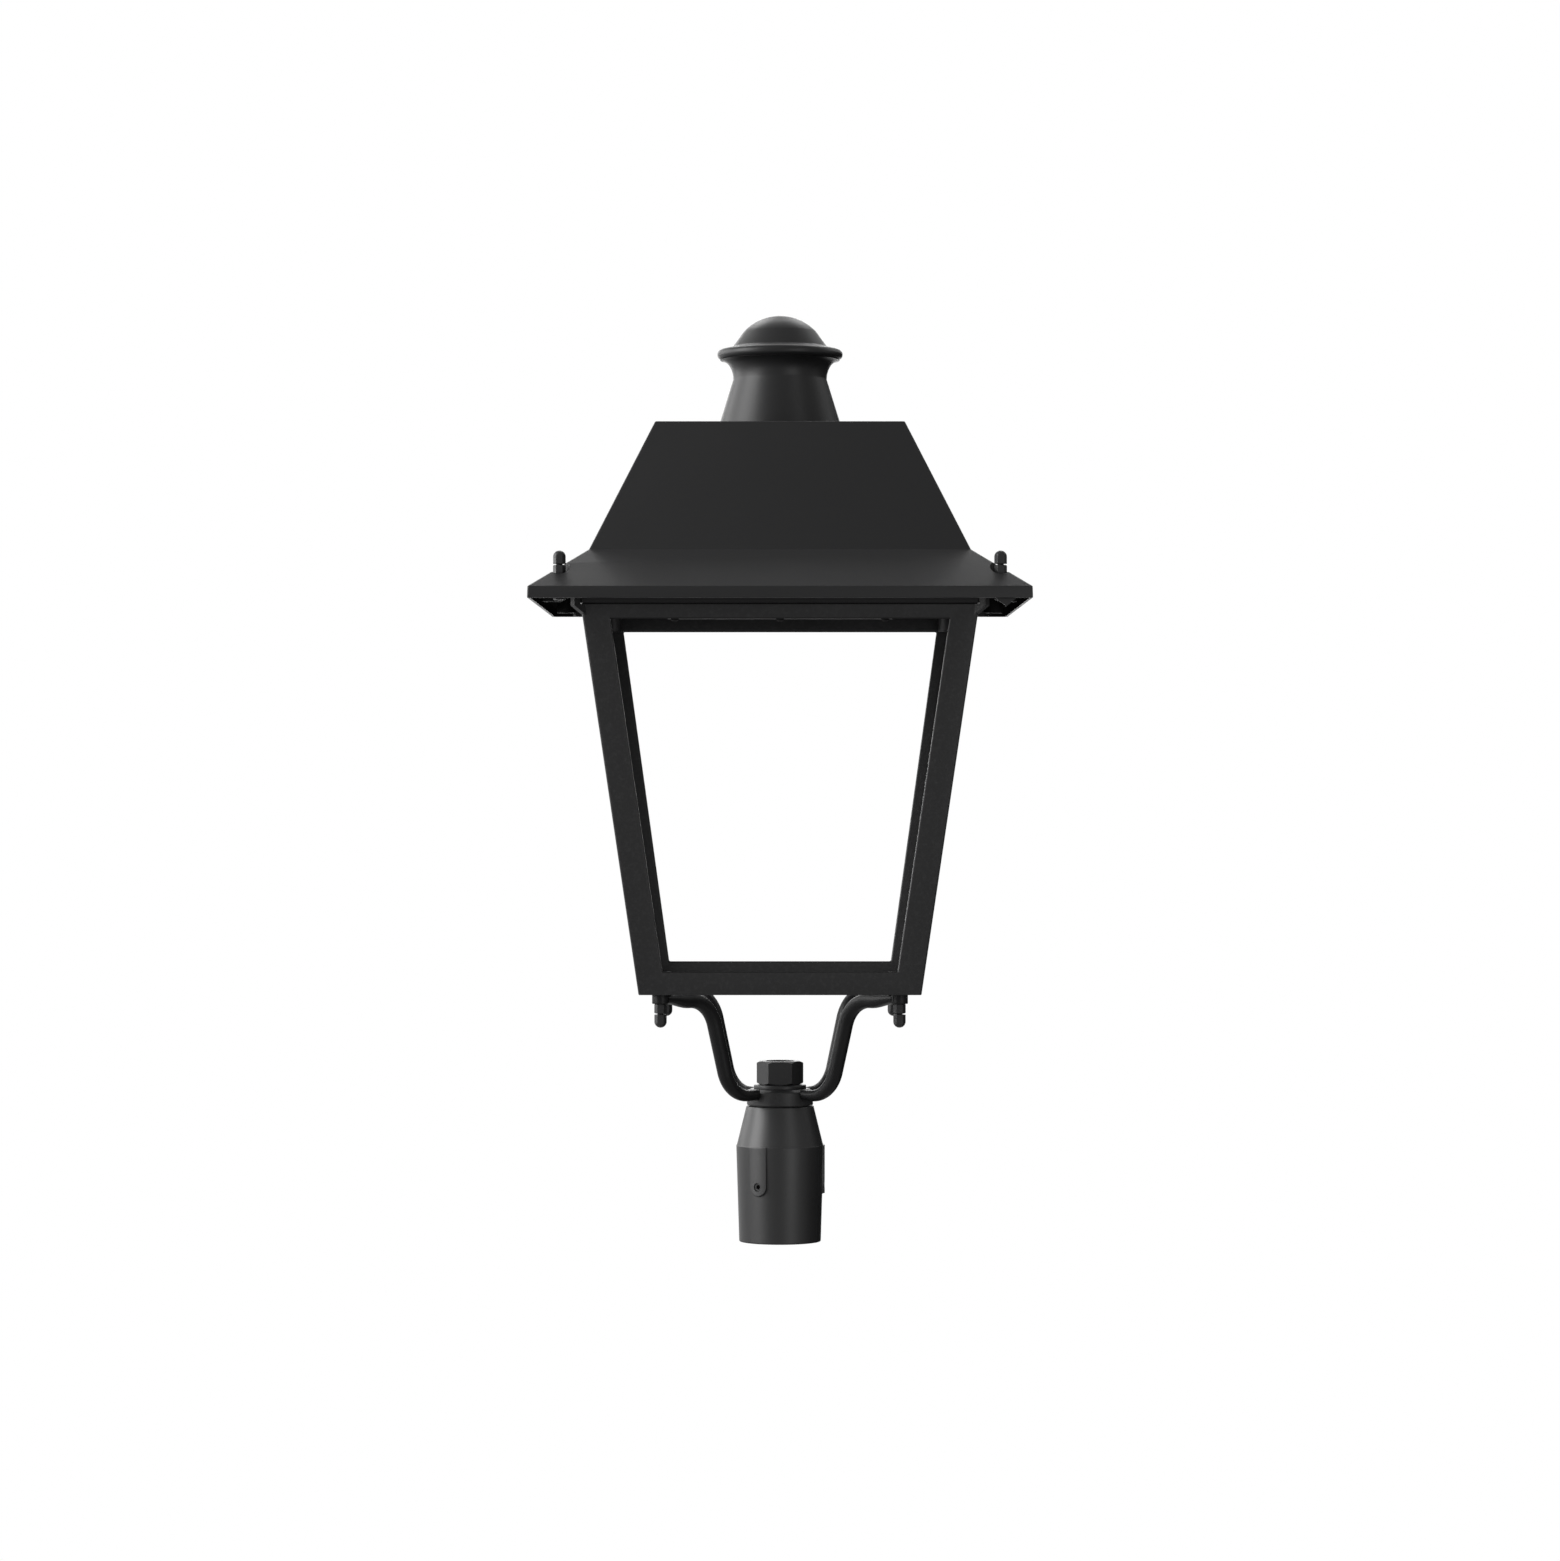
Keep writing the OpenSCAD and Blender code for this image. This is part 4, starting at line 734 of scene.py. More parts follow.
HEAD_H = 4
low, high = levels("fork_bolts")
pad_z = high - HEAD_H
heads = four(moved(bolt_head(M6_FLATS, HEAD_H), z=pad_z), BOLT_X)
shanks = four(thread(M6_R, M6_PITCH, low, pad_z), BOLT_X)
turned("fork_bolts", heads + shanks, "lantern", "black_hardware", coat_screw)
corner_nuts("fork", "lantern", BOLT_X, M6_HOLE, hanging=True)

# %% [markdown]
# ## The frame
#
# The frame is one casting to the eye: four sides, each with a tapering window, and no seam between
# posts and rings. Each side is a picture frame. Its section is a list of stations, each with an inset
# from the side, a rise from the bottom, a drop from the top and a depth into the wall. A station
# becomes a closed line round the window, and the four sides meet on the diagonals, where their edges
# merge. The faces lean, because the half width grows with height. The rails' faces that look up or
# down into the window take a paler matt coat, painted light in place of glints, because no glint shows
# on them in the photograph.

# %% One side as stations round a window
FRAME_TOP = round(levels("tray_gasket")[0], 1)
LOW_HALF, TOP_HALF, WALL = 128.8, 179.3, 7.0
SIDE_W, LOW_H, TOP_H = 24.8, 21.2, 13.1


def half_at(z):
    """Half the frame's width at a height: it grows evenly from the underside to the top."""
    return LOW_HALF + (TOP_HALF - LOW_HALF) * (z - FRAME_Z) / (FRAME_TOP - FRAME_Z)


def stations():
    """Rows of (inset, rise, drop, depth, corner radius): a rounded outer corner, the front of the window
    and its back, and the inside. Round edges are r (1 - cos a) and r (1 - sin a)."""
    a = np.radians([45, 60, 75, 90])[:, None]
    corner = 2 - 2 * np.concatenate([np.cos(a), np.sin(a)], axis=1)
    corner = np.stack([corner[:, 0], [0, 0.3, 0.65, 1], [0, 0.1, 0.2, 0.3], corner[:, 1], 0 * a[:, 0]],
        axis=1)
    b = np.radians(np.linspace(0, 90, 5))
    back_off, depth = 1.6 * (1 - np.sin(b)), 1.6 * (1 - np.cos(b))
    near = np.stack([SIDE_W - back_off, LOW_H - back_off, TOP_H - back_off, depth, 1.2 - 0 * b], axis=1)
    far = near[::-1] * [1, 1, 1, -1, 1] + [0, 0, 0, WALL, 0]
    return np.concatenate([corner, near, far, [[WALL, 0, 0, WALL, 0]], corner[:1]])


def side_grid(turn_by, steps=3):
    """Each station as a line round the window; the corners are arcs of the station's own radius."""
    inset, rise, drop, depth, r = stations().T[:, :, None]
    b = np.linspace(0, np.pi / 2, steps + 1)[None, :]
    low, high = FRAME_Z + rise, FRAME_TOP - drop
    near, far = r * (1 - np.cos(b)), r * (1 - np.sin(b))
    sign = np.repeat([-1, 1, 1, -1], steps + 1)
    z = np.concatenate([low + far, (low + far)[:, ::-1], high - far, (high - far)[:, ::-1]], axis=1)
    across = np.concatenate([near, near[:, ::-1], near, near[:, ::-1]], axis=1)
    x = sign * (half_at(z) - inset - across)
    y = -(half_at(z) - depth)
    return spun(np.stack([x, y, z], axis=-1), turn_by)


def on_diagonal(corners):
    """True for a face that lies wholly on a plane |x| = |y|, where two sides of the frame meet."""
    return np.all(np.abs(np.abs(corners[..., 0]) - np.abs(corners[..., 1])) < 1e-6, axis=1)


casting = build("frame_casting", [side_grid(t) for t in (0, 90, 180, 270)], 32, on_diagonal)
posts = ["corner_post_" + c + leg for c in ("front_left", "front_right", "back_right", "back_left")
    for leg in ("", "_side")]
seat(casting, "lantern", "black_casting", coat_cast, "bottom_ring", "top_ring", *posts)

# %% The window's ledges, in painted light
LEAN, CLEAR_OF_ENDS = 0.35, 5


def rail_ledge_painted_light(place, normal):
    """The rails' faces that look up or down into the window, not the frame's own top and bottom."""
    within = (place[2] > FRAME_Z + CLEAR_OF_ENDS) & (place[2] < FRAME_TOP - CLEAR_OF_ENDS)
    return within & (np.abs(normal[2]) > LEAN)


# The ledges take a paler, matt copy of the coat: painted light.
repaint(casting, matt_ledge_painted_light, rail_ledge_painted_light)

# %% [markdown]
# ## What the frame carries inside and at its corners
#
# A ledge and four pads in the bottom ring take the fork bolts. Four bosses in the top ring take the
# tray's screws. At each corner an ear leaves the frame on the diagonal: an upright web that rises past
# the tray, then a level plate with a round end that holds the roof's stud. All of them are plain plates
# from outlines, and the bevel gives them the soft edges of a casting.

# %% Ledge, pads and bosses
def box_outline(x0, x1, y0, y1):
    """The four corners of a rectangle, anticlockwise."""
    return [(x0, y0), (x1, y0), (x1, y1), (x0, y1)]


def disc(radius, columns=40):
    """Points round a circle: (r cos a, r sin a)."""
    a = around(columns)
    return np.stack([radius * np.cos(a), radius * np.sin(a)], axis=1)


TAB_H, BOSS_R, SUNK, LEDGE_W, PAD_REACH = 7.6, 9, 0.05, 9, 10.77
STUD_X = TOP_HALF + 18.1
RIM_Z = levels("roof_shell")[0] + TAB_H
inner_wall = LOW_HALF - WALL
ledge = square(ring_section(inner_wall - LEDGE_W, inner_wall + 0.5, FRAME_Z + 4, FRAME_Z + SUNK), 0.01, 1)
pad_near = BOLT_X - PAD_REACH
pad_side = (inner_wall + 0.8 - pad_near) / 2
pads = four(slab(box_outline(-pad_side, pad_side, -pad_side, pad_side), FRAME_Z + SUNK, pad_z),
    pad_near + pad_side)
bosses = four(slab(disc(BOSS_R), FRAME_TOP - TOP_H, FRAME_TOP - SUNK), TOP_HALF - WALL - BOSS_R)
print("Pads", round(2 * pad_side, 1), "mm wide; studs at", round(STUD_X, 1), "mm")

# %% Ears
LUG_Z, LUG_T, LUG_HALF = RIM_Z + 3.1, 4.0, 8.0
EAR_R, EAR_T, EAR_HALF, EAR_FOOT, EAR_DROOP = TOP_HALF * math.sqrt(2) + 9.7, 7.3, 2.6, 3.0, 1.7


def upright(grid):
    """A flat plate stood up: its y becomes the height and its thickness lies across."""
    return np.stack([grid[..., 0], -grid[..., 2], grid[..., 1]], axis=-1)


def ear(turn_by):
    """Web: an outline of (way out, height) set upright. Plate: a half circle about the stud, joined to
    the web."""
    foot, reach = FRAME_TOP - TOP_H + EAR_FOOT, STUD_X * math.sqrt(2)
    root, neck = (half_at(foot) - 2) * math.sqrt(2), EAR_R - EAR_T
    line = [(root - 4, FRAME_TOP), (root - 4, foot), (root, foot), (EAR_R, FRAME_TOP - EAR_DROOP),
        (EAR_R, LUG_Z + LUG_T), (neck, LUG_Z + LUG_T), (neck, FRAME_TOP)]
    web = upright(slab(line, -EAR_HALF, EAR_HALF, ((neck + EAR_R) / 2, FRAME_TOP - 2)))
    b = np.linspace(-np.pi / 2, np.pi / 2, 25)[:, None]
    end = np.concatenate([reach + LUG_HALF * np.cos(b), LUG_HALF * np.sin(b)], axis=1)
    plate = slab([(neck, -LUG_HALF), *end, (neck, LUG_HALF)], LUG_Z, LUG_Z + LUG_T - 0.01)
    return [spun(g, turn_by) for g in (web, plate)]


ears = [g for t in (45, 135, 225, 315) for g in ear(t)]
seat(build("frame_ears_and_pads", [ledge] + pads + bosses + ears), "lantern", "black_casting", coat_cast,
    bevel=0.6)

# %% Roof studs
stud_head = flipped(moved(bolt_head(M6_FLATS, HEAD_H), z=LUG_Z), LUG_Z)
shank = thread(M6_R, M6_PITCH, LUG_Z, levels("roof_studs")[1])
turned("roof_studs", four(stud_head, STUD_X) + four(shank, STUD_X), "lantern", "black_hardware", coat_screw)

# %% [markdown]
# ## The roof
#
# The roof is one thin casting: a rim, a skirt at 34 degrees, a steep upper roof and a flat top. The
# outside is a line of (half width, height) carried round as a square, and the inside is the same line
# moved in by the wall. At each corner a round pocket is sunk into the ridge for the stud's nuts, over
# a boss that rests on the ear. Pockets and bosses come from booleans, because a cut across a ridge has
# no simple grid of its own. The CAD keeps the upper roof as flat panels; here it is one skin.

# %% Roof shell
ROOF_WALL, POCKET_R, POCKET_Z = 3.0, 9.5, RIM_Z + 22.1
ROOF_HALF, ROOF_TOP = span("roof_shell")[1][0], levels("roof_top_plate")[1]
SHOULDER_Z, SHOULDER = RIM_Z + 45.8, ROOF_HALF - 53.0
TOP_W = SHOULDER - 58.0
outer_line = [(ROOF_HALF, RIM_Z), (ROOF_HALF - 0.3, RIM_Z + 10.4), (SHOULDER, SHOULDER_Z), (TOP_W, ROOF_TOP),
    (0, ROOF_TOP)]
inner_line = offset(outer_line, ROOF_WALL)
inner_line[0] = (ROOF_HALF - ROOF_WALL, RIM_Z)
outside = rounded(outer_line, [1.0, 2.5, 1.2], 5)
inside = rounded(inner_line, [1.0, 2.5, 1.0], 3)
mouth = rounded([inside[0], (ROOF_HALF, RIM_Z), outside[1]], [0.6], 3)
shell_line = np.concatenate([inside[::-1], mouth[1:-1], outside[1:]])
ROOF_SHARP = 28
roof = build("roof_casting", [square(shell_line, 1.6, 5)], ROOF_SHARP)
print("The roof's line has", len(shell_line), "points")

# %% Bosses, pockets and holes
CORNER_R, SIDE_X, SIDE_Y, SIDE_R, STUD_HOLE = 12, ROOF_HALF - 18.5, 133.0, 9.0, 3.4


def boss_under(x, y, radius, low):
    """A round boss whose top lies in the middle of the skirt's wall: its height there falls evenly with
    the larger of |x| and |y|, from the shoulder to the rim."""
    reach = np.array([0, 1, 1, 0.5, 0])[:, None]
    spot = np.broadcast_to(disc(radius, 64), (5, 64, 2)) * reach[..., None] + [x, y]
    wide = np.abs(spot).max(axis=2)
    skirt = np.interp(wide, [SHOULDER, ROOF_HALF], [SHOULDER_Z, RIM_Z + 10.2]) - ROOF_WALL * 0.6
    z = np.where(np.arange(5)[:, None] < 2, low, skirt)
    return np.concatenate([spot, z[..., None]], axis=2)


under = [boss_under(sx * STUD_X, sy * STUD_X, CORNER_R, LUG_Z + LUG_T + 0.02) for sx, sy in CORNERS]
under += [boss_under(sx * SIDE_X, sy * SIDE_Y, SIDE_R, RIM_Z + 0.2) for sx, sy in CORNERS]
carve(roof, build("roof_bosses", under), "UNION", ROOF_SHARP)
pockets = four(slab(disc(POCKET_R, 64), POCKET_Z, POCKET_Z + 60), STUD_X)
stud_holes = four(slab(disc(STUD_HOLE, 32), LUG_Z, POCKET_Z + 5), STUD_X)
side_holes = four(slab(disc(SIDE_R / 2, 32), RIM_Z - 5, RIM_Z + 10.4), SIDE_X, SIDE_Y)
rod_hole = slab(disc(4.4, 32), ROOF_TOP - 6, ROOF_TOP + 5)
for name, cutters in (("pockets", pockets), ("boss_holes", stud_holes + side_holes),
        ("rod_hole", [rod_hole])):
    carve(roof, build(name, cutters), "DIFFERENCE", ROOF_SHARP)
print("The roof has", len(roof.data.polygons), "faces after its pockets and holes")

# %% The pointed tab under the front rim
TAB_X, TAB_W = ROOF_HALF - 23.7, 18.7
tab_left, tab_right = TAB_X - TAB_W / 2, TAB_X + TAB_W / 2
tab = slab([(tab_left, RIM_Z + 3), (tab_left, RIM_Z), (TAB_X, RIM_Z - TAB_H), (tab_right, RIM_Z),
    (tab_right, RIM_Z + 3)], ROOF_HALF - 6.5, ROOF_HALF - 3.5)
carve(roof, build("tab", [upright(tab)]), "UNION", ROOF_SHARP)
seat(roof, "roof", "black_sheet", coat_sheet, "roof_shell", "roof_hood_front", "roof_hood_right",
    "roof_hood_back", "roof_hood_left", "roof_top_plate")

# %% [markdown]
# ## The roof's matt inside, in painted shade
#
# Under the eaves the lantern looks nearly black, with no glints, because it lies in shade. So the
# inside takes a matt coat a little darker than the outside, which is painted shade. The skin is one mesh
# with an inside and an outside, so a place is inside when it lies below the middle of the wall, which
# is a line of height over width. The bosses' walls and ends are darker still, with more painted shade.

# %% The coats inside the roof: painted shade
def from_boss(place):
    """The distance from the nearest boss's wall, negative inside it."""
    x, y = np.abs(place[:2])
    from_corner = np.hypot(x - STUD_X, y - STUD_X) - CORNER_R
    return np.minimum(from_corner, np.hypot(x - SIDE_X, y - SIDE_Y) - SIDE_R)


def roof_inside_painted_shade(place, normal):
    """Faces under the middle of the wall, inside the rim and clear of the bosses, which take painted shade.
    """
    width = np.abs(place[:2]).max(axis=0)
    half_wall = ROOF_WALL / 2
    middle = np.interp(width, [TOP_W, SHOULDER, ROOF_HALF],
        [ROOF_TOP - half_wall, SHOULDER_Z - half_wall, RIM_Z + 10])
    within = (place[2] > RIM_Z + 0.1) & (width < ROOF_HALF - ROOF_WALL + 0.2)
    return within & (place[2] < middle) & (from_boss(place) > 0.2)


def boss_walls_painted_shade(place, normal):
    """The bosses' walls and ends, below the pockets, which take painted shade."""
    return (from_boss(place) <= 0.2) & (place[2] < POCKET_Z - 1)


# The inside's darker matt coat is painted shade.
repaint(roof, matt_inside_painted_shade, roof_inside_painted_shade)
# The bosses' walls and ends take the darkest black: painted shade.
repaint(roof, oxide_black_and_painted_shade, boss_walls_painted_shade)

# %% Roof nuts
corner_nuts("roof", "roof", STUD_X, STUD_HOLE, hanging=False)

# %% [markdown]
# ## The chimney
#
# Neck and cap are spun parts. The neck is a straight cone that flares into a lip along a quarter of an
# ellipse: radius waist + w (1 - cos a), height waist + h sin a. The cap has a rolled collar, a shallow
# slope up to the dome's foot, a short cone and a round top, which is an arc that meets the cone.

# %% Neck
NECK_H, WAIST_H, WAIST_R, FOOT, LIP = 66.6, 47.9, 43.9, 58.7, 56.0
CHIMNEY_WALL = 3.0


def flare(wall):
    """The ellipse quarter from the waist to the lip, one wall in."""
    a = np.linspace(0, np.pi / 2, 20)[:, None]
    return np.concatenate([WAIST_R - wall + (LIP - WAIST_R) * (1 - np.cos(a)),
        WAIST_H + (NECK_H - WAIST_H - 0.5) * np.sin(a)], axis=1)


foot_line = rounded([(FOOT - 3, 0), (FOOT, 0), (WAIST_R, WAIST_H)], [0.5], 3)[:-1]
neck_line = np.concatenate([foot_line, flare(0), [(LIP - 0.4, NECK_H), (LIP - CHIMNEY_WALL, NECK_H)],
    flare(CHIMNEY_WALL)[::-1], [(FOOT - CHIMNEY_WALL, 0)]])
turned("chimney_neck", [turn(neck_line, 160, levels("chimney_neck")[0])], "roof", "black_sheet", coat_sheet)

# %% Cap
CAP_H, COLLAR, ROLL, DOME_FOOT, DOME_FOOT_H, BREAK_R, BREAK_H = 41.1, 58.8, 4.7, 43.5, 12.2, 34.0, 26.3
DOME_R = (BREAK_R ** 2 + (CAP_H - BREAK_H) ** 2) / (2 * (CAP_H - BREAK_H))
roll = np.radians(np.linspace(-90, 78, 16))[:, None]
collar_line = np.concatenate([COLLAR - ROLL + ROLL * np.cos(roll), ROLL + ROLL * np.sin(roll)], axis=1)
slope_line = rounded([collar_line[-1], (DOME_FOOT + 1.0, DOME_FOOT_H - 0.4), (BREAK_R + 2.2, BREAK_H - 3.6)],
    [3.5], 6)[1:-1]
top = np.linspace(math.asin(BREAK_R / DOME_R), 0, 24)[:, None]
dome_line = np.concatenate([DOME_R * np.sin(top), CAP_H - DOME_R + DOME_R * np.cos(top)], axis=1)
hollow = [(0, CAP_H - 3.4), (BREAK_R - 4, BREAK_H - 3), (DOME_FOOT - 3, DOME_FOOT_H - 3), (DOME_FOOT - 3, 0)]
cap_line = np.concatenate([hollow, collar_line, slope_line, dome_line])
turned("chimney_cap", [turn(cap_line, 160, levels("chimney_cap")[0])], "roof", "black_sheet", coat_sheet,
    sharp=40)

# %% Tie rod
M8_R, M8_PITCH, M8_FLATS, M8_H, M8_HOLE, M8_WASHER_R, M8_WASHER_T = 4, 1.25, 13, 6.4, 4.05, 8, 1.6
turned("tie_rod", [thread(M8_R, M8_PITCH, *levels("tie_rod"), 24)], "roof", "zinc_steel", zinc)
low, high = levels("tie_rod_nut")
tie_nut = moved(nut(M8_FLATS, M8_H, M8_HOLE), z=low)
tie_washer = turn(ring_section(M8_HOLE, M8_WASHER_R, M8_WASHER_T), 48, high - M8_WASHER_T)
turned("tie_rod_nut", [tie_nut, tie_washer], "roof", "zinc_steel", zinc, 0.2)

# %% [markdown]
# ## The light unit
#
# Seen from below, a bezel holds a toughened glass over a plate of 36 lenses. Each lens is a ball cap,
# so the plate's lower face is a height field: the distance to the nearest lens centre gives the depth
# sqrt(R^2 - d^2) - (R - h), or nothing outside the lens. Two more rows on each side make the plate's
# sides and draw its flat top in to one point. A yellow chip sits in each lens.

# %% Lens plate
plate_low, plate_high = span("lens_plate")
LENSES, LENS_R, LENS_H = 6, 8.5, 3.2
HALF = plate_high[0]
PITCH = 2 * HALF / LENSES


def lens_face():
    """The lower face: a lens of radius r and height h is part of a ball of radius (r^2 + h^2) / 2h."""
    ball = (LENS_R ** 2 + LENS_H ** 2) / (2 * LENS_H)
    line = np.linspace(-HALF, HALF, LENSES * 24 + 1)
    x, y = np.meshgrid(line, line, indexing="ij")
    to_centre = [np.mod(v + HALF, PITCH) - PITCH / 2 for v in (x, y)]
    d = np.hypot(*to_centre)
    depth = np.where(d < LENS_R, np.sqrt(np.maximum(ball ** 2 - d ** 2, 0)) - (ball - LENS_H), 0)
    z = plate_low[2] + LENS_H - np.maximum(depth, 0)
    return np.stack([x, y, z], axis=-1)


framed = np.pad(lens_face(), ((2, 2), (2, 2), (0, 0)), mode="edge")
framed[[0, 1, -2, -1], :, 2] = plate_high[2]
framed[:, [0, 1, -2, -1], 2] = plate_high[2]
framed[[0, -1], :, :2] = 0
framed[:, [0, -1], :2] = 0
plate = placed("lens_plate_moulded", (framed.reshape(-1, 3) * MM).tolist(),
    tiles(*framed.shape[:2], closed=False).tolist())
tidy(plate, 30)
seat(plate, "lantern", "lens_clear", lens_clear, "lens_plate")

# %% Chips
places = (np.arange(LENSES) + 0.5) * PITCH - HALF
chip = slab(box_outline(-1.75, 1.75, -1.75, 1.75), plate_high[2] - 0.7, plate_high[2] - 0.02)
chips = [moved(chip, x, y) for x in places for y in places]
seat(build("led_chips", chips), "lantern", "board_white", phosphor)

# %% [markdown]
# ## Small screws and the cable gland
#
# The tray, the bezel and the control gear are held by rounded screws with hexagonal recesses. The
# cable comes in through a gland: a hexagon under the tray with a domed nut below it.

# %% Small screws
M4 = 4.0
HEAD_R = 0.95 * M4


def screws(part, places, head_z, foot_z, slot, material, down=False):
    """Button-head screws at (x, y) places, with the head above its seat, or hanging below it if down."""
    head = moved(button_head(M4), z=head_z)
    if down:
        head = flipped(head, head_z)
    shank = turn([(0, foot_z), (M4 / 2, foot_z), (M4 / 2, head_z), (0, head_z)], 20)
    grids = [moved(g, x, y) for x, y in places for g in (head, shank)]
    turned(part, grids, "lantern", slot, material)

# %% Tray and bezel screws
tray_low, tray_high = span("tray_screws")
tray_z, tray_top = levels("gear_tray")
tray_x = tray_high[0] - HEAD_R
tray_places = [(sx * tray_x, sy * tray_x) for sx in (-1, 1) for sy in (-1, 1)]
screws("tray_screws", tray_places, tray_top, tray_low[2], "stainless_screws", stainless)

ring_high = span("bezel_screws")[1]
ring_x = ring_high[0] - HEAD_R
ring_places = [(i * ring_x, j * ring_x) for i in (-1, 0, 1) for j in (-1, 0, 1) if i or j]
screws("bezel_screws", ring_places, levels("glass_bezel")[0], ring_high[2], "black_hardware", oxide_black_and_painted_shade,
    down=True)

# %% Gear screws
FOOT_IN = 6
gear_places = []
for gear, along in (("led_driver", 0), ("surge_protector", 1), ("terminal_block", 1)):
    low, high = span(gear)
    middle = (low + high) / 2
    for side in (-1, 1):
        spot = middle[:2].copy()
        spot[along] = side * (high[along] - FOOT_IN)
        gear_places.append(spot)
screws("gear_screws", gear_places, tray_top + 2, levels("gear_screws")[0], "stainless_screws", stainless)

# %% Cable gland and its locknut
gland_low, gland_high = span("cable_gland")
gland_x, gland_y = (gland_low[:2] + gland_high[:2]) / 2
GLAND_BORE, GLAND_HEX_H, GLAND_R = 4.5, 6.5, 8
body = moved(nut(20, GLAND_HEX_H, GLAND_BORE), gland_x, gland_y, tray_z - GLAND_HEX_H)
dome = rounded([(GLAND_BORE, 0), (6, 0), (8.5, 1.8), (9.2, 6), (GLAND_BORE, 6)], [0.5, 1.0, 0.2])
dome_nut = moved(turn(np.concatenate([dome, dome[:1]]), 64), gland_x, gland_y, gland_low[2])
stem = moved(thread(GLAND_R, 1.5, tray_z, gland_high[2], 40, GLAND_BORE), gland_x, gland_y)
lock = moved(nut_for("gland_locknut", 21, GLAND_R + 0.05), gland_x, gland_y)
for part, grids in (("cable_gland", [body, dome_nut, stem]), ("gland_locknut", [lock])):
    seat(build(part + "_moulded", grids), "lantern", "gland_plastic", dark_plastic, part, bevel=0.25)

# %% [markdown]
# ## Pieces whose CAD shape is right
#
# Flat sheet, seals, glass, board and heat sink are already true in the CAD, so they keep their meshes
# and only take a finish. Cases and the bezel are copied, merged and given a soft edge, because a
# moulded case with knife edges looks like a drawing.

# %% Finishes for the CAD's own pieces
for part, material in (("gear_tray", coat_sheet), ("tray_gasket", rubber), ("glass_seal", rubber),
        ("heat_sink", bare_sink), ("led_board", board), ("cover_glass", glass_clear)):
    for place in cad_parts[part].material_slots:
        place.material = material
    print(part, "takes", material.name)

# %% Softened copies
def softened(part, body, slot, material, bevel):
    """A merged copy of a CAD node with its flats joined and its edges bevelled."""
    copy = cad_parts[part].copy()
    copy.data = copy.data.copy()
    copy.name = part + "_softened"
    bpy.context.scene.collection.objects.link(copy)
    shape = bmesh.new()
    shape.from_mesh(copy.data)
    bmesh.ops.remove_doubles(shape, verts=shape.verts, dist=1e-6)
    bmesh.ops.dissolve_limit(shape, angle_limit=0.01, verts=shape.verts, edges=shape.edges)
    shape.to_mesh(copy.data)
    shape.free()
    copy.data.shade_smooth()
    copy.data.set_sharp_from_angle(angle=math.radians(30))
    return seat(copy, body, slot, material, part, bevel=bevel)


softened("glass_bezel", "lantern", "black_sheet", coat_sheet, 0.5)
softened("led_driver", "lantern", "driver_case", grey_case, 0.8)
softened("surge_protector", "lantern", "gear_plastic", pale_plastic, 0.6)
softened("terminal_block", "lantern", "gear_plastic", pale_plastic, 0.3)

# %% [markdown]
# ## The white room
#
# The photograph has a plain white ground and no shadow. Behind the lantern the world is white where
# the camera, gloss or glass sees it, and much weaker where it only lights a surface, so that soft boxes
# shape the black. A Light Path node tells the two apart.

# %% World
scene = bpy.context.scene
scene.view_settings.view_transform = "Standard"


def reckon(tree, operation, first, second):
    """A Math node on two outputs or numbers."""
    return node(tree, "Math", 0, {0: first, 1: second}, operation=operation)


def seen_directly(tree):
    """1 for camera, glossy and transmission rays, 0 for the rays that only light a surface."""
    rays = tree.nodes.new("ShaderNodeLightPath").outputs
    seen = reckon(tree, "MAXIMUM", rays["Is Camera Ray"], rays["Is Glossy Ray"])
    return reckon(tree, "MAXIMUM", seen, rays["Is Transmission Ray"])


def mixed(tree, share, first, second):
    """The first shader where the share is 0, the second where it is 1."""
    return node(tree, "MixShader", 0, {"Fac": share, 1: first, 2: second})


WHITE, SEEN, LIGHTING = (1, 1, 1, 1), 1.0, 0.2
world = bpy.data.worlds.new("studio")
world.use_nodes = True
scene.world = world
sky = world.node_tree
ambient = sky.nodes["Background"]
ambient.inputs["Color"].default_value = WHITE
ambient.inputs["Strength"].default_value = LIGHTING
white = node(sky, "Background", 0, {"Color": WHITE, "Strength": SEEN})
chosen = mixed(sky, seen_directly(sky), ambient.outputs[0], white)
sky.links.new(chosen, sky.nodes["World Output"].inputs["Surface"])
print("World:", SEEN, "where seen,", LIGHTING, "where it lights")

# %% [markdown]
# ## The floor
#
# The lantern is shown at post height, so the floor lies 3 m below the socket. It glows a little where
# it is seen, so it stays pale far from the lamps, and it turns clear between 4 and 11 m from the middle,
# so that no edge shows against the white.

# %% Floor
FLOOR_Z, FLOOR_HALF, FLOOR_GLOW = -3, 12, 0.88
FADE_FROM, FADE_TO = 4.0, 11.0


def sheet(name, corners, material):
    """A face of the studio with four corners in metres; it is no piece of the lantern."""
    face = placed(name, corners, [(0, 1, 2, 3)])
    face.data.materials.append(material)
    return face


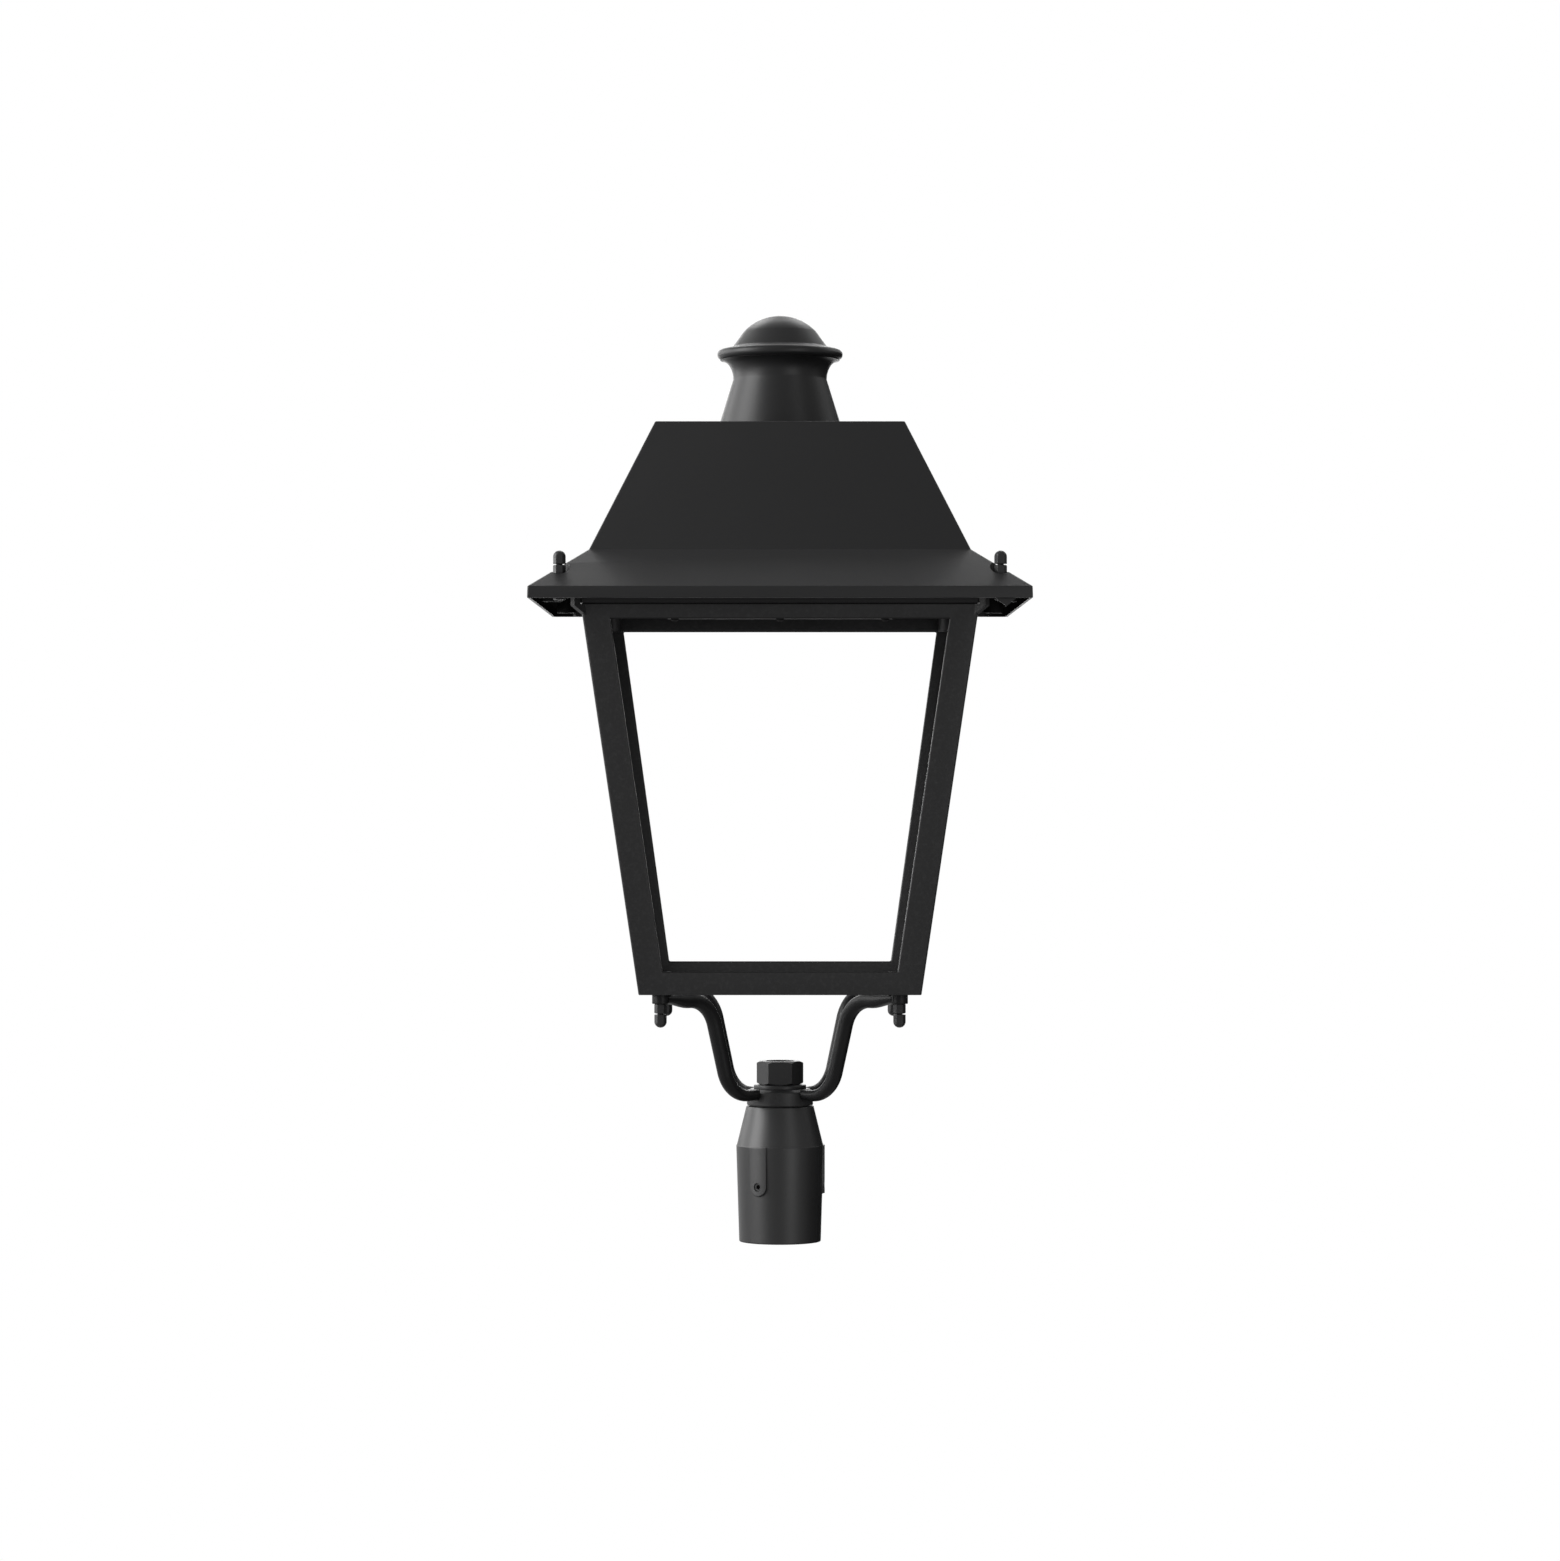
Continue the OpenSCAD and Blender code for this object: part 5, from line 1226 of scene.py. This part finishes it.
floor_material, floor_tree, floor_shader = finish("pale_floor", (0.86, 0.86, 0.86), 0.9, specular=0.1)
share = reckon(floor_tree, "MULTIPLY", seen_directly(floor_tree), FLOOR_GLOW)
pale = mixed(floor_tree, share, floor_shader.outputs[0], node(floor_tree, "Emission", 0))
spot = node(floor_tree, "TexCoord", "Object")
from_middle = node(floor_tree, "VectorMath", "Value", {0: spot}, operation="LENGTH")
fade = spread(floor_tree, from_middle, 0.0, 1.0, FADE_FROM, FADE_TO)
faded = mixed(floor_tree, fade, pale, node(floor_tree, "BsdfTransparent", 0))
floor_tree.links.new(faded, floor_tree.nodes["Material Output"].inputs["Surface"])
sheet("floor", [(x * FLOOR_HALF, y * FLOOR_HALF, FLOOR_Z) for x, y in ((-1, -1), (1, -1), (1, 1), (-1, 1))],
    floor_material)
print("Floor at", FLOOR_Z, "m")

# %% [markdown]
# ## Lamps and cards
#
# The photograph's key light is a broad soft box on the left that reaches round behind. Weaker boxes at
# the right and behind show the far sides, three small ones above and behind make the sheen on the
# skirt and the dome, and a low one at the left lights the arms and the socket. Two black cards give the
# right sides of the round parts their dark edge, as a photographer flags the dark side of a black part.

# %% Lamps
def soft_box(name, place, size, watts, aim=(0, 0, 0.5)):
    """A rectangular area lamp at a place in metres, turned to face a point."""
    lamp = bpy.data.lights.new(name, "AREA")
    lamp.shape = "RECTANGLE"
    lamp.size, lamp.size_y = size
    lamp.energy = watts
    box = bpy.data.objects.new(name, lamp)
    box.location = place
    box.rotation_euler = (Vector(aim) - Vector(place)).to_track_quat("-Z", "Y").to_euler()
    scene.collection.objects.link(box)
    print(name, watts, "W")


soft_box("left_soft_box", (-2.9, -0.8, 1.6), (2.2, 2.8), 330)
soft_box("right_back_soft_box", (2.6, 1.3, 2.1), (1.8, 2.0), 18, aim=(0, 0, 0.65))
soft_box("back_soft_box", (-0.4, 3.2, 1.2), (2.2, 1.8), 40)
soft_box("left_low_soft_box", (-2.4, -1.5, 0.0), (1.4, 0.7), 22)
soft_box("left_back_soft_box", (-2.6, 1.6, 1.3), (1.6, 2.2), 60)
soft_box("back_left_head_lamp", (-0.57, 1.5, 2.25), (0.6, 0.6), 11)
soft_box("back_right_head_lamp", (0.53, 1.5, 2.25), (0.6, 0.6), 7)
soft_box("back_head_lamp", (0.0, 1.3, 2.7), (0.6, 0.6), 3.5)
soft_box("right_high_fill", (2.3, -2.6, 2.5), (1.0, 1.0), 14)
soft_box("right_fill", (1.8, -3.0, 0.2), (1.4, 2.2), 48)

# %% Dark cards
card_material = finish("dark_card", (0.005, 0.005, 0.005), 0.9, specular=0.0)[0]
for name, corners in (
        ("right_low_card", [(2.2, -0.5, -1.2), (2.1, 0.6, -1.2), (2.1, 0.6, 0.12), (2.2, -0.5, 0.12)]),
        ("right_back_card", [(2.1, 0.6, -2.5), (0.8, 2.6, -2.5), (0.8, 2.6, 1.3), (2.1, 0.6, 1.3)])):
    card = sheet(name, corners, card_material)
    card.visible_camera = card.visible_transmission = card.visible_shadow = False
    print(name, "is hidden from the camera and casts no shadow")

# %% [markdown]
# ## The camera
#
# The photograph was taken straight from the front, with a long lens level with the window. The distance
# comes from how much smaller the far rails look than the near ones, and the lens from the object's
# width in the frame. A small shift moves the frame up without tilting the view, so uprights stay
# upright.

# %% Camera
lens = bpy.data.cameras.new("camera")
camera = bpy.data.objects.new("camera", lens)
scene.collection.objects.link(camera)
camera.location = (0.0, -4.2776, 0.4221)
camera.rotation_euler = (math.pi / 2, 0, 0)
lens.lens = 105.16
lens.sensor_width = 36.0
lens.shift_y = 0.0067
lens.clip_end = 60
scene.camera = camera
print("Camera", round(-camera.location.y, 2), "m in front, lens", round(lens.lens, 1), "mm")
